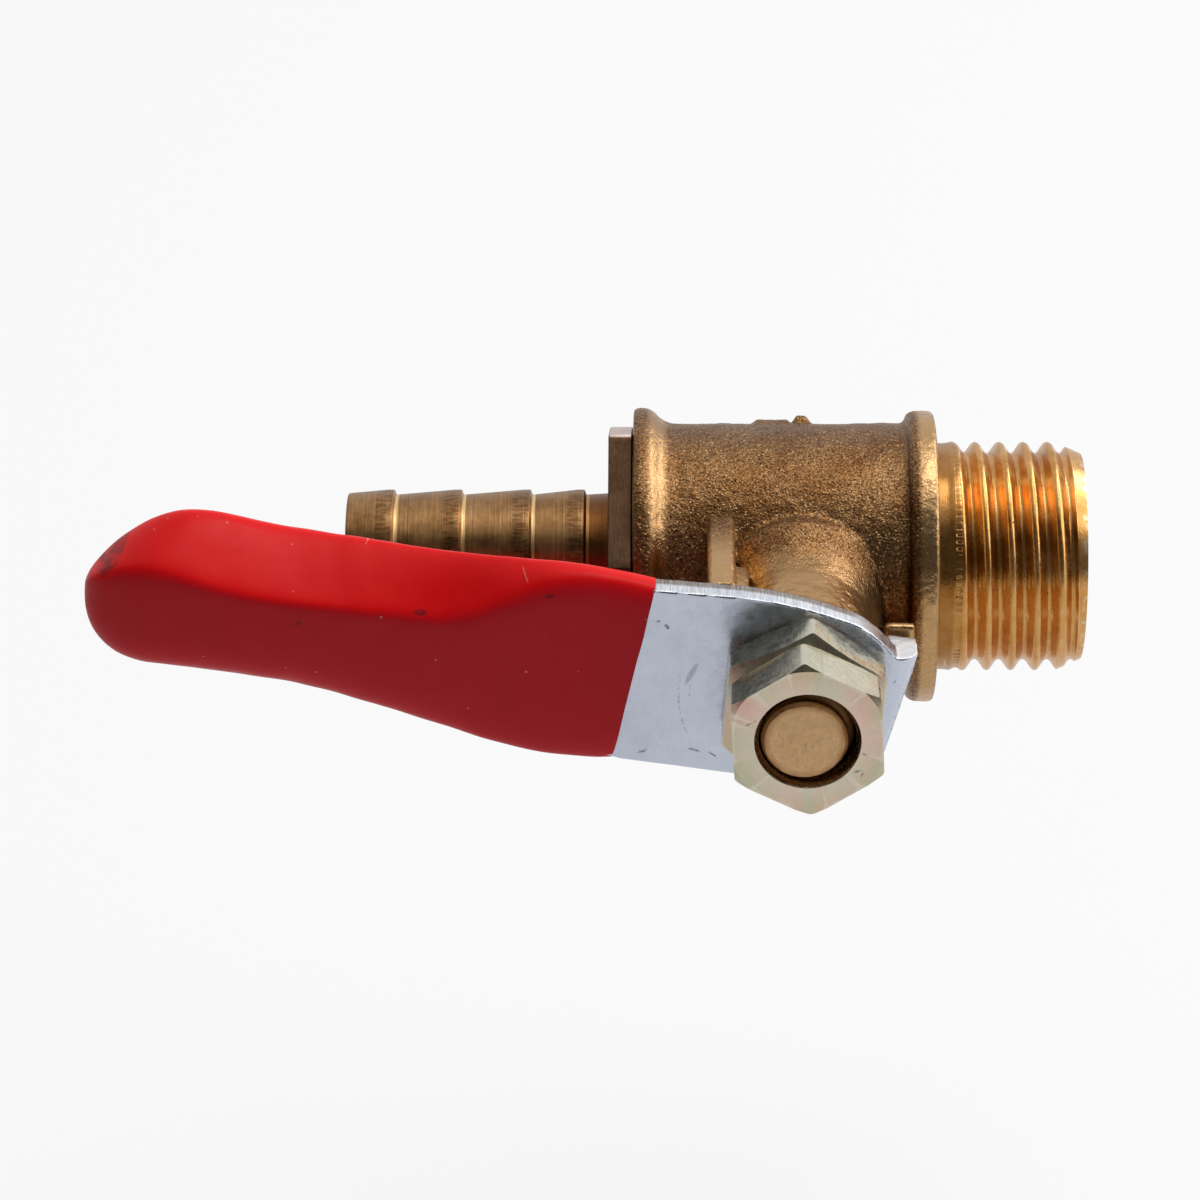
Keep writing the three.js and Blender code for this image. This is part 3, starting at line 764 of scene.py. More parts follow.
def blue_zinc():
    """Bright zinc plating on rolled steel: rub marks beside the nut, dents, sheared edges, painted shade
    along the upper rounded edges and a painted highlight on the tab's cut face.
    """
    look = Look("blue_zinc", 1.0, 0.28)
    x = look.coordinate("X")
    cloud = look.grain(5.0, detail=4.0)
    rolled = look.grain(0.1, detail=3.0, stretch=(14, 1, 1))
    colour = look.ramp(cloud, (0.3, (0.56, 0.60, 0.70)), (0.7, (0.66, 0.70, 0.81)))
    radius = look.from_stem()
    patchy = look.patches(0.4, 0.42, 0.6, detail=4.0, roughness=0.7)
    side_of_nut = look.near(to_row((-6.6, -0.6, PLATE_FRONT)), 1.2, 2.6)
    inner_rub = look.band(radius, 6.1 * MM, 0.02 * MM, 0.04 * MM)
    outer_rub = look.band(radius, 6.7 * MM, 0.03 * MM, 0.05 * MM)
    rub = look.times(look.most(inner_rub, outer_rub), patchy)
    rub = look.times(rub, look.times(side_of_nut, 0.5))
    dents = look.marks(
        ((-7.3, 3.95, PLATE_FRONT), -50, 0.2, 0.09),
        ((-7.75, 4.25, PLATE_FRONT), 10, 0.12, 0.06),
        ((-8.6, -3.5, PLATE_FRONT), 20, 0.3, 0.1),
        ((-5.85, -3.45, PLATE_FRONT), -20, 0.4, 0.07),
        ((-4.9, -3.7, PLATE_FRONT), -35, 0.3, 0.05),
        ((4.7, 0.6, PLATE_FRONT), 60, 0.12, 0.05),
    )
    gouge = look.times(look.mark((-6.0, 1.15, PLATE_FRONT), 63, 0.8, 0.15), 0.45)
    worn = look.times(look.most(rub, dents), patchy)
    marks = look.most(worn, gouge)
    colour = look.mix(look.times(marks, 0.85), colour, (0.15, 0.14, 0.15))
    # painted shade: the up-facing rounded corners along the plate's edges are darkened to a dark brown
    painted_edge_shade = look.band(look.square_to("Y"), 0.62, 0.2, 0.12)
    painted_edge_shade = look.times(painted_edge_shade, look.spread(look.facing("Z"), 0.3, 0.5, 0.0, 0.8))
    colour = look.mix(painted_edge_shade, colour, (0.14, 0.10, 0.09))
    flank = look.fall(look.square_to("Y"), 0.3, 0.5)
    sheared = look.times(flank, look.fall(look.facing("X"), 0.4, 0.6))
    streaks = look.grain(0.09, detail=3.0, stretch=(1, 12, 1))
    burnished = look.ramp(streaks, (0.35, (0.58, 0.60, 0.66)), (0.65, (0.84, 0.87, 0.93)))
    torn = look.ramp(streaks, (0.35, (0.20, 0.17, 0.16)), (0.65, (0.46, 0.42, 0.40)))
    depth = look.math("SUBTRACT", look.coordinate("Y"), PIPE_Y - PLATE_FRONT * MM)
    cut_face = look.mix(look.rise(depth, 0.75 * MM, 0.95 * MM), burnished, torn)
    # painted highlight: the cut face over the tab's bend is painted pale, where the light catches it
    painted_tab_highlight = look.rise(x, (BEND_START - 0.4) * MM, BEND_START * MM)
    cut_face = look.mix(painted_tab_highlight, cut_face, (0.80, 0.82, 0.86))
    colour = look.mix(sheared, colour, cut_face)
    rough = look.patches(0.9, 0.35, 0.7, 0.2, 0.36, detail=5.0, roughness=0.7)
    rough = look.mix(sheared, rough, 0.42)
    normal = look.bump(rolled, 0.006, 0.5)
    normal = look.bump(look.grain(1.2, detail=2.0), 0.02, 0.4, normal)
    bent = look.rise(x, BEND_START * MM, (BEND_START + 0.5) * MM)
    crumpled = look.times(look.grain(0.35, detail=4.0), bent)
    normal = look.bump(crumpled, 0.05, 0.6, normal)
    normal = look.bump(look.times(marks, -1.0), 0.03, 1.0, normal)
    return look.finish(colour, rough, normal)


def yellow_zinc():
    """Yellow passivated zinc with drifting pink and green tints, olive on the wrench flats."""
    look = Look("yellow_zinc", 1.0, 0.3)
    drift = look.grain(4.5, detail=1.5, distortion=0.4)
    tint = look.ramp(
        drift,
        (0.34, (0.72, 0.44, 0.37)),
        (0.46, (0.66, 0.49, 0.35)),
        (0.56, (0.54, 0.53, 0.36)),
        (0.68, (0.68, 0.49, 0.37)),
    )
    side = look.fall(look.square_to("Y"), 0.3, 0.6)
    olive = look.ramp(look.grain(1.6, detail=4.0), (0.3, (0.38, 0.43, 0.28)), (0.7, (0.61, 0.64, 0.50)))
    tint = look.mix(look.times(side, 0.8), tint, olive)
    tint = look.mix(look.times(look.edges(0.52, 0.57), 0.5), tint, (0.82, 0.76, 0.66))
    nicks = look.marks(
        ((-2.9, 1.1, STEM_LENGTH), 35, 0.3, 0.05),
        ((-3.15, 1.0, STEM_LENGTH), 40, 0.2, 0.04),
        ((2.95, -0.75, STEM_LENGTH), -25, 0.25, 0.06),
        ((2.6, -1.75, STEM_LENGTH), 15, 0.3, 0.07),
        ((2.85, -1.95, STEM_LENGTH), 70, 0.2, 0.05),
        ((-3.0, -3.0, STEM_LENGTH), -50, 0.2, 0.04),
    )
    patchy = look.patches(0.25, 0.4, 0.55, 0.0, 0.8, detail=4.0, roughness=0.7)
    tint = look.mix(look.times(nicks, patchy), tint, (0.16, 0.14, 0.10))
    mouth = look.spread(look.from_stem(), (NUT_MOUTH_R - 0.08) * MM, (NUT_MOUTH_R + 0.02) * MM, 0.9, 0.0)
    colour = look.mix(mouth, tint, (0.27, 0.20, 0.09))
    rough = look.patches(0.5, 0.3, 0.7, 0.2, 0.34, detail=4.0)
    streaks = look.grain(0.12, detail=2.0, stretch=(1, 9, 1))
    normal = look.bump(look.grain(0.6, detail=3.0), 0.02, 0.4)
    normal = look.bump(look.times(streaks, side), 0.02, 0.7, normal)
    return look.finish(colour, rough, normal)


def red_vinyl():
    """Dipped vinyl: satin red with painted light and shade, lighter where it faces up, with dust specks,
    scratches and dark smudges.
    """
    look = Look("red_vinyl", 0.0, 0.34)
    # painted light and shade: the red is lighter where the surface faces up and darker where it faces
    # forward, as the overhead light falls
    painted_top_light = look.rise(look.facing("Z"), 0.25, 0.7)
    painted_top_light = look.mix(0.15, painted_top_light, look.grain(4.0, detail=3.0))
    colour = look.ramp(painted_top_light, (0.05, (0.52, 0.009, 0.017)), (0.95, (0.84, 0.002, 0.003)))
    dirt = look.patches(0.5, 0.6, 0.8, 0.0, 0.4, detail=4.0, roughness=0.7)
    colour = look.mix(dirt, colour, (0.32, 0.008, 0.014))
    smudge = look.marks(
        ((-36.3, 7.7, PLATE_FRONT), 58, 1.7, 0.55),
        ((-20.2, 4.9, PLATE_FRONT), 0, 0.4, 0.16),
        ((-26.6, 4.4, PLATE_FRONT), 30, 0.25, 0.15),
        ((-13.4, 5.9, PLATE_FRONT), 0, 0.3, 0.12),
    )
    smudge = look.times(smudge, look.patches(0.5, 0.35, 0.62, 0.2, 0.8, detail=4.0))
    smudge = look.times(smudge, look.fall(look.facing("Y"), 0.0, 0.3))
    colour = look.mix(smudge, colour, (0.12, 0.012, 0.018))
    scratch = look.marks(
        ((-22.6, 7.95, PLATE_FRONT), 64, 0.55, 0.05),
        ((-22.9, 7.55, PLATE_FRONT), 35, 0.4, 0.04),
        ((-14.7, 6.7, PLATE_FRONT), -60, 0.35, 0.035),
        ((-29.2, 0.6, PLATE_FRONT), -35, 0.7, 0.03),
    )
    scratch = look.times(scratch, look.patches(0.2, 0.35, 0.55, 0.2, 0.7, detail=3.0))
    specks = look.specks(1.4, 0.03, 0.055, 0.75)
    colour = look.mix(look.most(scratch, specks), colour, (0.80, 0.32, 0.28))
    rough = look.patches(0.8, 0.3, 0.7, 0.3, 0.42, detail=4.0)
    normal = look.bump(look.grain(2.5, detail=3.0), 0.05, 0.3)
    normal = look.bump(look.grain(0.2, detail=2.0), 0.006, 0.3, normal)
    look.shader.inputs["Specular IOR Level"].default_value = 0.15
    return look.finish(colour, rough, normal)


def seat_plastic():
    """White PTFE, waxy and faintly mottled."""
    look = Look("seat_plastic", 0.0, 0.45)
    colour = look.ramp(look.grain(1.0, detail=3.0), (0.3, (0.78, 0.78, 0.74)), (0.7, (0.88, 0.88, 0.85)))
    rough = look.patches(0.3, 0.3, 0.7, 0.4, 0.55)
    return look.finish(colour, rough, look.bump(look.rings(0.08), 0.01, 0.4))


def seal_rubber():
    """Black nitrile rubber with a greasy sheen."""
    look = Look("seal_rubber", 0.0, 0.5)
    colour = look.ramp(look.grain(0.5, detail=3.0), (0.3, (0.012, 0.012, 0.013)), (0.7, (0.03, 0.03, 0.032)))
    rough = look.patches(0.4, 0.3, 0.7, 0.4, 0.65)
    return look.finish(colour, rough, look.bump(look.grain(0.1), 0.01, 0.4))


def plated_ball():
    """Polished plated ball with hairline polishing marks."""
    look = Look("plated_ball", 1.0, 0.1)
    colour = look.ramp(look.grain(1.5, detail=3.0), (0.3, (0.66, 0.67, 0.69)), (0.7, (0.78, 0.79, 0.80)))
    rough = look.patches(0.3, 0.3, 0.7, 0.07, 0.16, detail=4.0)
    return look.finish(colour, rough, look.bump(look.rings(0.04), 0.003, 0.4))


# ---------------------------------------------------------------- body


def barrel_shape():
    """Turned outside of the casting: two beaded flanges and the barrel between them."""
    corners = [
        (BODY_LEFT, 0, 0),
        (BODY_LEFT, INLET_FLANGE_R, 0.4),
        (BODY_LEFT + 0.95, INLET_FLANGE_R, 0.5),
        (BODY_LEFT + 1.75, BARREL_R, 0.8),
        (OUTLET_FLANGE_LEFT - 0.1, BARREL_R, 0.2),
        (OUTLET_FLANGE_LEFT + 0.15, OUTLET_FLANGE_R, 0.5),
        (SHOULDER, OUTLET_FLANGE_R, 0.35),
        (SHOULDER, 0, 0),
    ]
    return revolve(softened(corners), around_pipe, 144)


def boss_shape():
    """Stem housing, flared where it grows out of the barrel."""
    corners = [
        (BOSS_ROOT, 0, 0),
        (BOSS_ROOT, BOSS_ROOT_R, 0),
        (BARREL_R - 1.2, BOSS_ROOT_R, 0),
        (BARREL_R + 1.2, BOSS_R, 1.6),
        (BOSS_TOP, BOSS_R, 0.35),
        (BOSS_TOP, 0, 0),
    ]
    return revolve(softened(corners), around_stem, 96)


def flat_place(a, b, level):
    """Places a prism's outline in x and y, and pushes it out along the stem."""
    return (a, b, level)


def box_shape(corners, cut=0.2):
    """A block between two opposite corners, with the edges that run out along the stem cut back."""
    (x0, y0, z0), (x1, y1, z1) = corners
    outline = [
        (x0 + cut, y0),
        (x1 - cut, y0),
        (x1, y0 + cut),
        (x1, y1 - cut),
        (x1 - cut, y1),
        (x0 + cut, y1),
        (x0, y1 - cut),
        (x0, y0 + cut),
    ]
    return prism(outline, z0, z1, flat_place)


def web_shape():
    """Rib between the stem housing and the outlet flange, seen as a ledge under the lever's tab."""

    def place(out, height, across):
        return (across, height, out)

    return prism(WEB_SIDE, WEB_LEFT, WEB_RIGHT, place)


def plateau(value, middle, half_width, slope):
    """1 within half_width of the middle, easing to 0 over the slope."""
    return 1 - smoothstep(abs(value - middle), half_width, half_width + slope)


def add_gate_remains(mesh):
    """Low ground-down remains of the casting gate on the back of the barrel."""
    for vert in mesh.vertices:
        x, y, z = from_row(vert.co)
        radius = math.hypot(y, z)
        if abs(radius - BARREL_R) > 0.4:
            continue
        arc = (math.atan2(z, y) - GATE_ANGLE) * BARREL_R
        pad = GATE_PAD_HEIGHT * plateau(x, -1.5, 0.8, 0.4) * plateau(arc, -0.2, 0.4, 1.0)
        stub = GATE_STUB_HEIGHT * plateau(x, 0.15, 0.2, 0.45) * plateau(arc, -0.1, 0.2, 0.6)
        scale = 1 + max(pad, stub) / radius
        vert.co = to_row((x, y * scale, z * scale))


def body_bores():
    """Machined holes: seat pocket, fitting thread, port and stem passage."""
    pocket = [
        (BODY_LEFT - 1, 0),
        (BODY_LEFT - 1, FITTING_BORE_R),
        (FITTING_BORE_END, FITTING_BORE_R),
        (FITTING_BORE_END, SEAT_POCKET_R),
        (SEAT_POCKET_END, SEAT_POCKET_R),
        (SEAT_POCKET_END, PORT_R),
        (SHOULDER + 1, PORT_R),
        (SHOULDER + 1, 0),
    ]
    passage = [
        (0, 0),
        (0, STEM_FOOT_BORE_R),
        (STEM_FOOT_BORE_END, STEM_FOOT_BORE_R),
        (STEM_FOOT_BORE_END, STEM_BORE_R),
        (BOSS_TOP + 1, STEM_BORE_R),
        (BOSS_TOP + 1, 0),
    ]
    return [revolve(pocket, around_pipe, 96), revolve(passage, around_stem, 64)]


def build_body(material):
    shapes = [
        barrel_shape(),
        boss_shape(),
        box_shape(UPPER_STOP),
        box_shape(LOWER_STOP),
        web_shape(),
        box_shape(STOP_LUG),
    ]
    voxel = 0.11
    skin = fused("valve_body_casting", shapes, voxel, 5)
    add_gate_remains(skin)
    skin = roughened(skin, [(0.022, 0.32), (0.03, 0.9), (0.06, 3.0)], faced=0.9)
    skin = sharpened(bored(skin, body_bores()), math.radians(50))
    add_piece("valve_body_casting", skin, material, "body", "cast_brass", "valve_body")


# ---------------------------------------------------------------- threads


def thread_height(phase):
    """Rounded triangular thread form: 1 on the crest, 0 in the root, phase in turns from a crest."""
    distance = abs((phase + 0.5) % 1.0 - 0.5)
    slope = 1.5 * (1 - 4 * distance)
    rounding = 3.5
    return 0.5 + 0.5 * slope / (1 + abs(slope) ** rounding) ** (1 / rounding)


def helix_skin(place, start, end, pitch, radius_at, per_turn, steps):
    """Outer skin of a threaded rod whose mesh rows follow the helix. radius_at(along, phase)."""
    rows = math.ceil((end - start) / pitch * steps) + 2 * steps
    verts = []
    for k in range(per_turn):
        angle = 2 * math.pi * k / per_turn
        for j in range(rows + 1):
            along = start - pitch + pitch * (j / steps + k / per_turn)
            along = min(end, max(start, along))
            phase = along / pitch - k / per_turn
            verts.append(place(along, radius_at(along, phase), angle))
    faces = []
    for k in range(per_turn):
        here = k * (rows + 1)
        last = k == per_turn - 1
        beyond = 0 if last else here + rows + 1
        shift = steps if last else 0
        for j in range(rows):
            a = min(rows, j + shift)
            b = min(rows, j + 1 + shift)
            face = [here + j, here + j + 1, beyond + b, beyond + a]
            if a == b:
                face.pop()
            faces.append(tuple(face))
    return verts, faces


def pipe_thread_radius(along, phase):
    """Collar, run-in, five full turns and the end chamfer."""
    crest_phase = THREAD_FIRST_CREST / THREAD_PITCH
    depth = (THREAD_CREST_R - THREAD_ROOT_R) * smoothstep(along, COLLAR_END - 0.1, COLLAR_END + 1.1)
    radius = THREAD_CREST_R - depth * (1 - thread_height(phase - crest_phase))
    collar = lerp(COLLAR_R, THREAD_CREST_R, smoothstep(along, COLLAR_END - 0.3, COLLAR_END + 0.3))
    chamfer = THREAD_ROOT_R + (BODY_RIGHT - along) * 0.45
    return min(radius, collar, chamfer)


def build_pipe_thread(material):
    start = SHOULDER - 0.05
    per_turn = 144
    steps = 40
    skin = helix_skin(around_pipe, start, BODY_RIGHT, THREAD_PITCH, pipe_thread_radius, per_turn, steps)
    inside = softened([
        (BODY_RIGHT, THREAD_ROOT_R, 0),
        (BODY_RIGHT, THREAD_MOUTH_R, 0.1),
        (BODY_RIGHT - THREAD_MOUTH_DEPTH, PORT_R, 0.2),
        (start, PORT_R, 0),
        (start, COLLAR_R, 0),
    ])
    mesh = make_mesh("pipe_thread", [skin, revolve(inside, around_pipe, per_turn)], math.radians(50))
    add_piece("pipe_thread", mesh, material, "body", "cast_brass")


# ---------------------------------------------------------------- barb fitting


def barb_corners():
    """Half section of the hose tail: each barb rises to its crest and drops sharply behind it."""
    corners = [(BARB_TIP, BARB_BORE_R, 0), (BARB_TIP, BARB_ROOT_R + 0.08, 0.12)]
    for peak in BARB_PEAKS:
        corners.append((peak - 0.35, BARB_PEAK_R, 0.05))
        corners.append((peak, BARB_PEAK_R, 0.05))
        corners.append((peak + 0.1, BARB_ROOT_R, 0.06))
    corners += [(HEX_LEFT + 0.3, BARB_ROOT_R + 0.1, 0), (HEX_LEFT + 0.3, BARB_BORE_R, 0)]
    return corners


def build_barb(material, material_hex):
    barbs = softened(barb_corners())
    mesh = make_mesh("barb_tail", [revolve(barbs, around_pipe, 128, closed=True)], math.radians(28))
    add_piece("barb_tail", mesh, material, "body", "turned_brass", "barb_fitting")

    hex_right = BODY_LEFT - 0.05
    outline = rounded_hexagon(HEX_FLATS, -HEX_LEAN, 0.1, 240)
    verts, faces = ring_wall(outline, BARB_BORE_R, [
        (HEX_LEFT, 0.86),
        (HEX_LEFT, 0.99),
        (HEX_LEFT + 0.06, 1.0),
        (hex_right - 0.06, 1.0),
        (hex_right, 0.99),
        (hex_right, 0.86),
    ])
    mesh = make_mesh("barb_hexagon", [(verts, faces)], math.radians(28))
    add_piece("barb_hexagon", mesh, material_hex, "body", "turned_brass")

    spigot = softened([
        (hex_right - 0.2, BARB_BORE_R, 0),
        (hex_right - 0.2, SPIGOT_R, 0),
        (SPIGOT_END - 0.25, SPIGOT_R, 0.2),
        (SPIGOT_END, SPIGOT_R - 0.3, 0.1),
        (SPIGOT_END, BARB_BORE_R, 0),
    ])
    mesh = make_mesh("barb_spigot", [revolve(spigot, around_pipe, 96, closed=True)])
    add_piece("barb_spigot", mesh, material, "body", "turned_brass")


def rounded_hexagon(flats, turn, softness, points):
    """Outline of a hexagon with softened corners; turn is the angle of its first flat."""
    outline = []
    apothem = flats / 2
    half_side = math.pi / 6
    limit = apothem / math.cos(half_side) - softness * 0.35
    for k in range(points):
        angle = 2 * math.pi * k / points
        off = (angle - turn + half_side) % (2 * half_side) - half_side
        radius = soft_minimum(apothem / math.cos(off), limit, softness / 6)
        outline.append((radius * math.cos(angle), radius * math.sin(angle)))
    return outline


def ring_wall(outline, hole_r, rows):
    """A ring about the pipe: outer wall through rows of (along, scale of the outline), round hole."""
    count = len(outline)
    first, last = rows[0][0], rows[-1][0]
    verts = []
    for along, scale in rows:
        verts += [(along, a * scale, b * scale) for a, b in outline]
    for along in (last, first):
        for a, b in outline:
            length = math.hypot(a, b)
            verts.append((along, a / length * hole_r, b / length * hole_r))
    return verts, joined_rings(len(rows) + 2, count, closed=True)


# ---------------------------------------------------------------- stem


def stem_thread_radius(along, phase):
    """Thread that runs in from the shank, the plain neck and the end chamfer."""
    depth = STEM_THREAD_DEPTH * smoothstep(along, STEM_THREAD_START, STEM_THREAD_START + 0.6)
    full = STEM_THREAD_R - depth * (1 - thread_height(phase))
    plain = lerp(STEM_NECK_R, STEM_THREAD_R + 0.1, smoothstep(STEM_LENGTH - along, 0.75, 1.1))
    chamfer = STEM_TIP_R + (STEM_LENGTH - along) * 0.8
    return min(full, plain, chamfer)


def worn_tip(shape):
    """The stem's tip moved a little off the axis, as its chamfer was cut."""
    verts, faces = shape
    moved = []
    for x, y, z in verts:
        moved.append((x - TIP_SHIFT * smoothstep(z, STEM_LENGTH - 1.6, STEM_LENGTH - 0.5), y, z))
    return moved, faces


def build_stem(material):
    start = PLATE_FRONT
    rim = STEM_LENGTH - 0.05
    skin = helix_skin(around_stem, start, rim, STEM_THREAD_PITCH, stem_thread_radius, STEM_FACETS, 16)
    end_corners = [(rim, STEM_TIP_R + 0.03, 0), (STEM_LENGTH, STEM_TIP_R, 0.06), (STEM_LENGTH, 0, 0)]
    shank = [(start, STEM_THREAD_R), (start, STEM_R)]
    for groove in SEAL_GROOVES:
        far = groove + SEAL_GROOVE_WIDTH
        shank += [(far, STEM_R), (far, SEAL_GROOVE_R), (groove, SEAL_GROOVE_R), (groove, STEM_R)]
    foot_low, foot_high = STEM_FOOT
    shank += [(foot_high, STEM_R), (foot_high, STEM_FOOT_R), (foot_low, STEM_FOOT_R), (foot_low, 0)]
    tang = box_shape(TANG, 0.1)
    tip = revolve(softened(end_corners, 4), around_stem, STEM_FACETS)
    shapes = [worn_tip(skin), worn_tip(tip), revolve(shank, around_stem, STEM_FACETS)]
    mesh = make_mesh("stem_rod", shapes, math.radians(40))
    add_piece("stem_rod", mesh, material, "lever", "stem_brass", "stem")
    add_piece("stem_tang", make_mesh("stem_tang", [tang]), material, "lever", "stem_brass")


# ---------------------------------------------------------------- lever


def lever_place(a, b, level):
    """A point of the lever drawn level (tip to the left), leaned to its place on the stem."""
    c, s = math.cos(LEVER_ANGLE), math.sin(LEVER_ANGLE)
    return (a * c - b * s, a * s + b * c, level)


def blank_outline():
    """Lever blank seen from the stem's end: hub on the right, handle to the left."""
    corners = [
        (HUB_END - 0.75, -3.4, 1.2),
        (HUB_END - 0.42, TAB_BOTTOM, 0),
        (HUB_END, TAB_TOP, 0.3),
        (HUB_END - 1.1, TAB_TOP - 0.1, 0.4),
        (3.66, 3.44, 0.8),
        (2.34, 4.32, 0.8),
        (-0.62, 4.9, 1.0),
        (-3.3, 5.12, 1.5),
        (-8.6, 4.8, 0),
        (-11.0, 4.3, 0),
        (-14.0, 3.7, 0),
        (-17.5, 2.2, 0),
        (-20.0, 1.2, 0),
        (-24.0, 0.4, 0),
        (STOCK_TIP, 0.4, 0),
        (STOCK_TIP, -2.95, 0),
        (-22.0, -2.95, 0),
        (-14.0, -5.02, 0),
        (-9.0, -5.42, 0.5),
        (1.0, -5.42, 1.5),
        (3.4, -4.9, 1.2),
    ]
    return softened(corners + corners[:1])[:-1]


def channel_shape(side):
    """One of the two flanges folded back along the handle, inside the grip."""
    outer = FOLD_MIDDLE + side * FOLD_OUTSIDE
    inner = FOLD_MIDDLE + side * FOLD_INSIDE
    outline = [(STOCK_TIP, outer), (FOLD_START, outer), (FOLD_START, inner), (STOCK_TIP, inner)]
    return prism(outline, PLATE_FRONT - FOLD_DEPTH, PLATE_FRONT - 0.5, flat_place)


def tab_shape():
    """The stop tab, bent back from the hub's leaning end, with its far corners knocked round."""
    back = PLATE_FRONT - TAB_DEPTH
    front = PLATE_FRONT - 0.05
    corners = [
        (TAB_BOTTOM, front, 0),
        (TAB_TOP, front, 0),
        (TAB_TOP, back, 1.3),
        (TAB_BOTTOM, back, 0.8),
        (TAB_BOTTOM, front, 0),
    ]

    def place(height, level, across):
        return (HUB_END - HUB_END_LEAN * (TAB_TOP - height) - across, height, level)

    return prism(softened(corners)[:-1], 0, PLATE_THICKNESS, place)


def roll_hub_end(mesh):
    """Bends the end of the hub smoothly back, as the press leaves it at the tab."""
    back = PLATE_FRONT - PLATE_THICKNESS
    for vert in mesh.vertices:
        x, y, z = from_row(vert.co)
        edge = HUB_END - HUB_END_LEAN * (TAB_TOP - y)
        inside = max(0.0, edge - x)
        if inside < ROLL_R and back < z <= PLATE_FRONT + 0.1:
            drop = ROLL_R - math.sqrt(ROLL_R**2 - (ROLL_R - inside) ** 2)
            share = min(drop, ROLL_DEPTH) / PLATE_THICKNESS
            vert.co = to_row((x, y, back + (z - back) * (1 - share)))


def build_lever(material):
    shapes = [
        prism(blank_outline(), PLATE_FRONT - PLATE_THICKNESS, PLATE_FRONT, flat_place),
        tab_shape(),
        channel_shape(1),
        channel_shape(-1),
    ]
    skin = fused("lever_plate_blank", shapes, 0.09, 4)
    roll_hub_end(skin)
    for vert in skin.vertices:
        vert.co = to_row(lever_place(*from_row(vert.co)))
    skin = roughened(skin, [(0.012, 2.5), (0.006, 0.5)])
    behind = PLATE_FRONT - 5
    ahead = PLATE_FRONT + 5
    hole = [(behind, 0), (behind, LEVER_HOLE_R), (ahead, LEVER_HOLE_R), (ahead, 0)]
    skin = sharpened(bored(skin, [revolve(hole, around_stem, 64)]), math.radians(50))
    add_piece("lever_plate_blank", skin, material, "lever", "zinc_steel", "lever_plate")


# ---------------------------------------------------------------- grip


def nose_travel(distance, length):
    """How far into a nose of this length a place along the grip is, from 0 to 1."""
    return max(0.0, (distance - GRIP_END + length) / length)


def nose_shrink(distance, length, roundness):
    """The grip's height there, as a share of its full height, closing in a rounded nose."""
    return max(0.0, 1 - nose_travel(distance, length) ** roundness) ** (1 / roundness)


def grip_ring(distance, around, inset=0.0):
    """One section of the grip, shrunk by inset millimetres."""
    blend = smoothstep(distance, *GRIP_BLEND)
    size = {key: lerp(GRIP_HUB[key], GRIP_TIP[key], blend) for key in GRIP_HUB}
    top = nose_shrink(distance, *NOSE_TOP)
    bottom = nose_shrink(distance, *NOSE_BOTTOM)
    into_nose = nose_travel(distance, NOSE_TOP[0]) ** 2
    slant = smoothstep(distance, *ROOF_BLEND) * (1 - ROOF_NOSE_LOSS * into_nose)
    middle = size["middle"] - NOSE_DROP * into_nose
    tuck = MOUTH_TUCK * max(0.0, 1 - (distance - GRIP_START) / MOUTH_LENGTH) ** 2
    half_height = size["half_height"] - tuck - inset
    swell = SWELL_HEIGHT * math.exp(-(((distance - SWELL_AT) / SWELL_REACH) ** 2))
    centre_z = SLEEVE_FRONT - size["half_depth"]
    ring = []
    for k in range(around):
        angle = 2 * math.pi * k / around
        up = math.copysign(abs(math.sin(angle)) ** GRIP_SQUARENESS, math.sin(angle))
        out = math.copysign(abs(math.cos(angle)) ** GRIP_SQUARENESS, math.cos(angle))
        if up > 0 and out > -ROOF_START:
            roof = ROOF_TOP - ROOF_FALL * slant * (out + ROOF_START) / (1 + ROOF_START)
            up = soft_minimum(up, roof, ROOF_SOFTNESS)
        rise = up * ((half_height + swell) * top if up > 0 else half_height * bottom)
        depth = (size["half_depth"] - inset) * out * (top + bottom) / 2
        if out < 0:
            depth += BACK_GROOVE * blend * (1 - up * up) * out * out * (top + bottom) / 2
        lean = MOUTH_LEAN * up * (1 - blend)
        ring.append(lever_place(lean - distance, middle + rise, centre_z + depth))
    return ring


def build_grip(material):
    around = 96
    lip = 5
    stations = 90
    nose = 30
    rings = [grip_ring(GRIP_START + MOUTH_DEPTH, around, MOUTH_INSET)]
    for k in range(lip + 1):
        curl = GRIP_LIP_R * (1 - math.sin(math.pi / 2 * k / lip))
        rings.append(grip_ring(GRIP_START + curl, around, curl))
    straight_start = GRIP_START + GRIP_LIP_R
    nose_start = GRIP_END - NOSE_TOP[0]
    for k in range(1, stations):
        rings.append(grip_ring(lerp(straight_start, nose_start, k / stations), around))
    for k in range(nose):
        rings.append(grip_ring(nose_start + NOSE_TOP[0] * math.sin(math.pi / 2 * k / nose), around))
    rings.append(grip_ring(GRIP_END - 0.002, around))
    verts = [p for ring in rings for p in ring]
    faces = joined_rings(len(rings), around)
    faces.append(tuple(range(around)))
    faces.append(tuple(range((len(rings) - 1) * around, len(rings) * around)))
    mesh = make_mesh("grip_sleeve_skin", [(verts, faces)], math.radians(60))
    roughened(mesh, [(0.10, 6.0), (0.03, 1.5)], math.radians(60))
    add_piece("grip_sleeve_skin", mesh, material, "lever", "red_vinyl", "grip_sleeve")


# ---------------------------------------------------------------- nuts


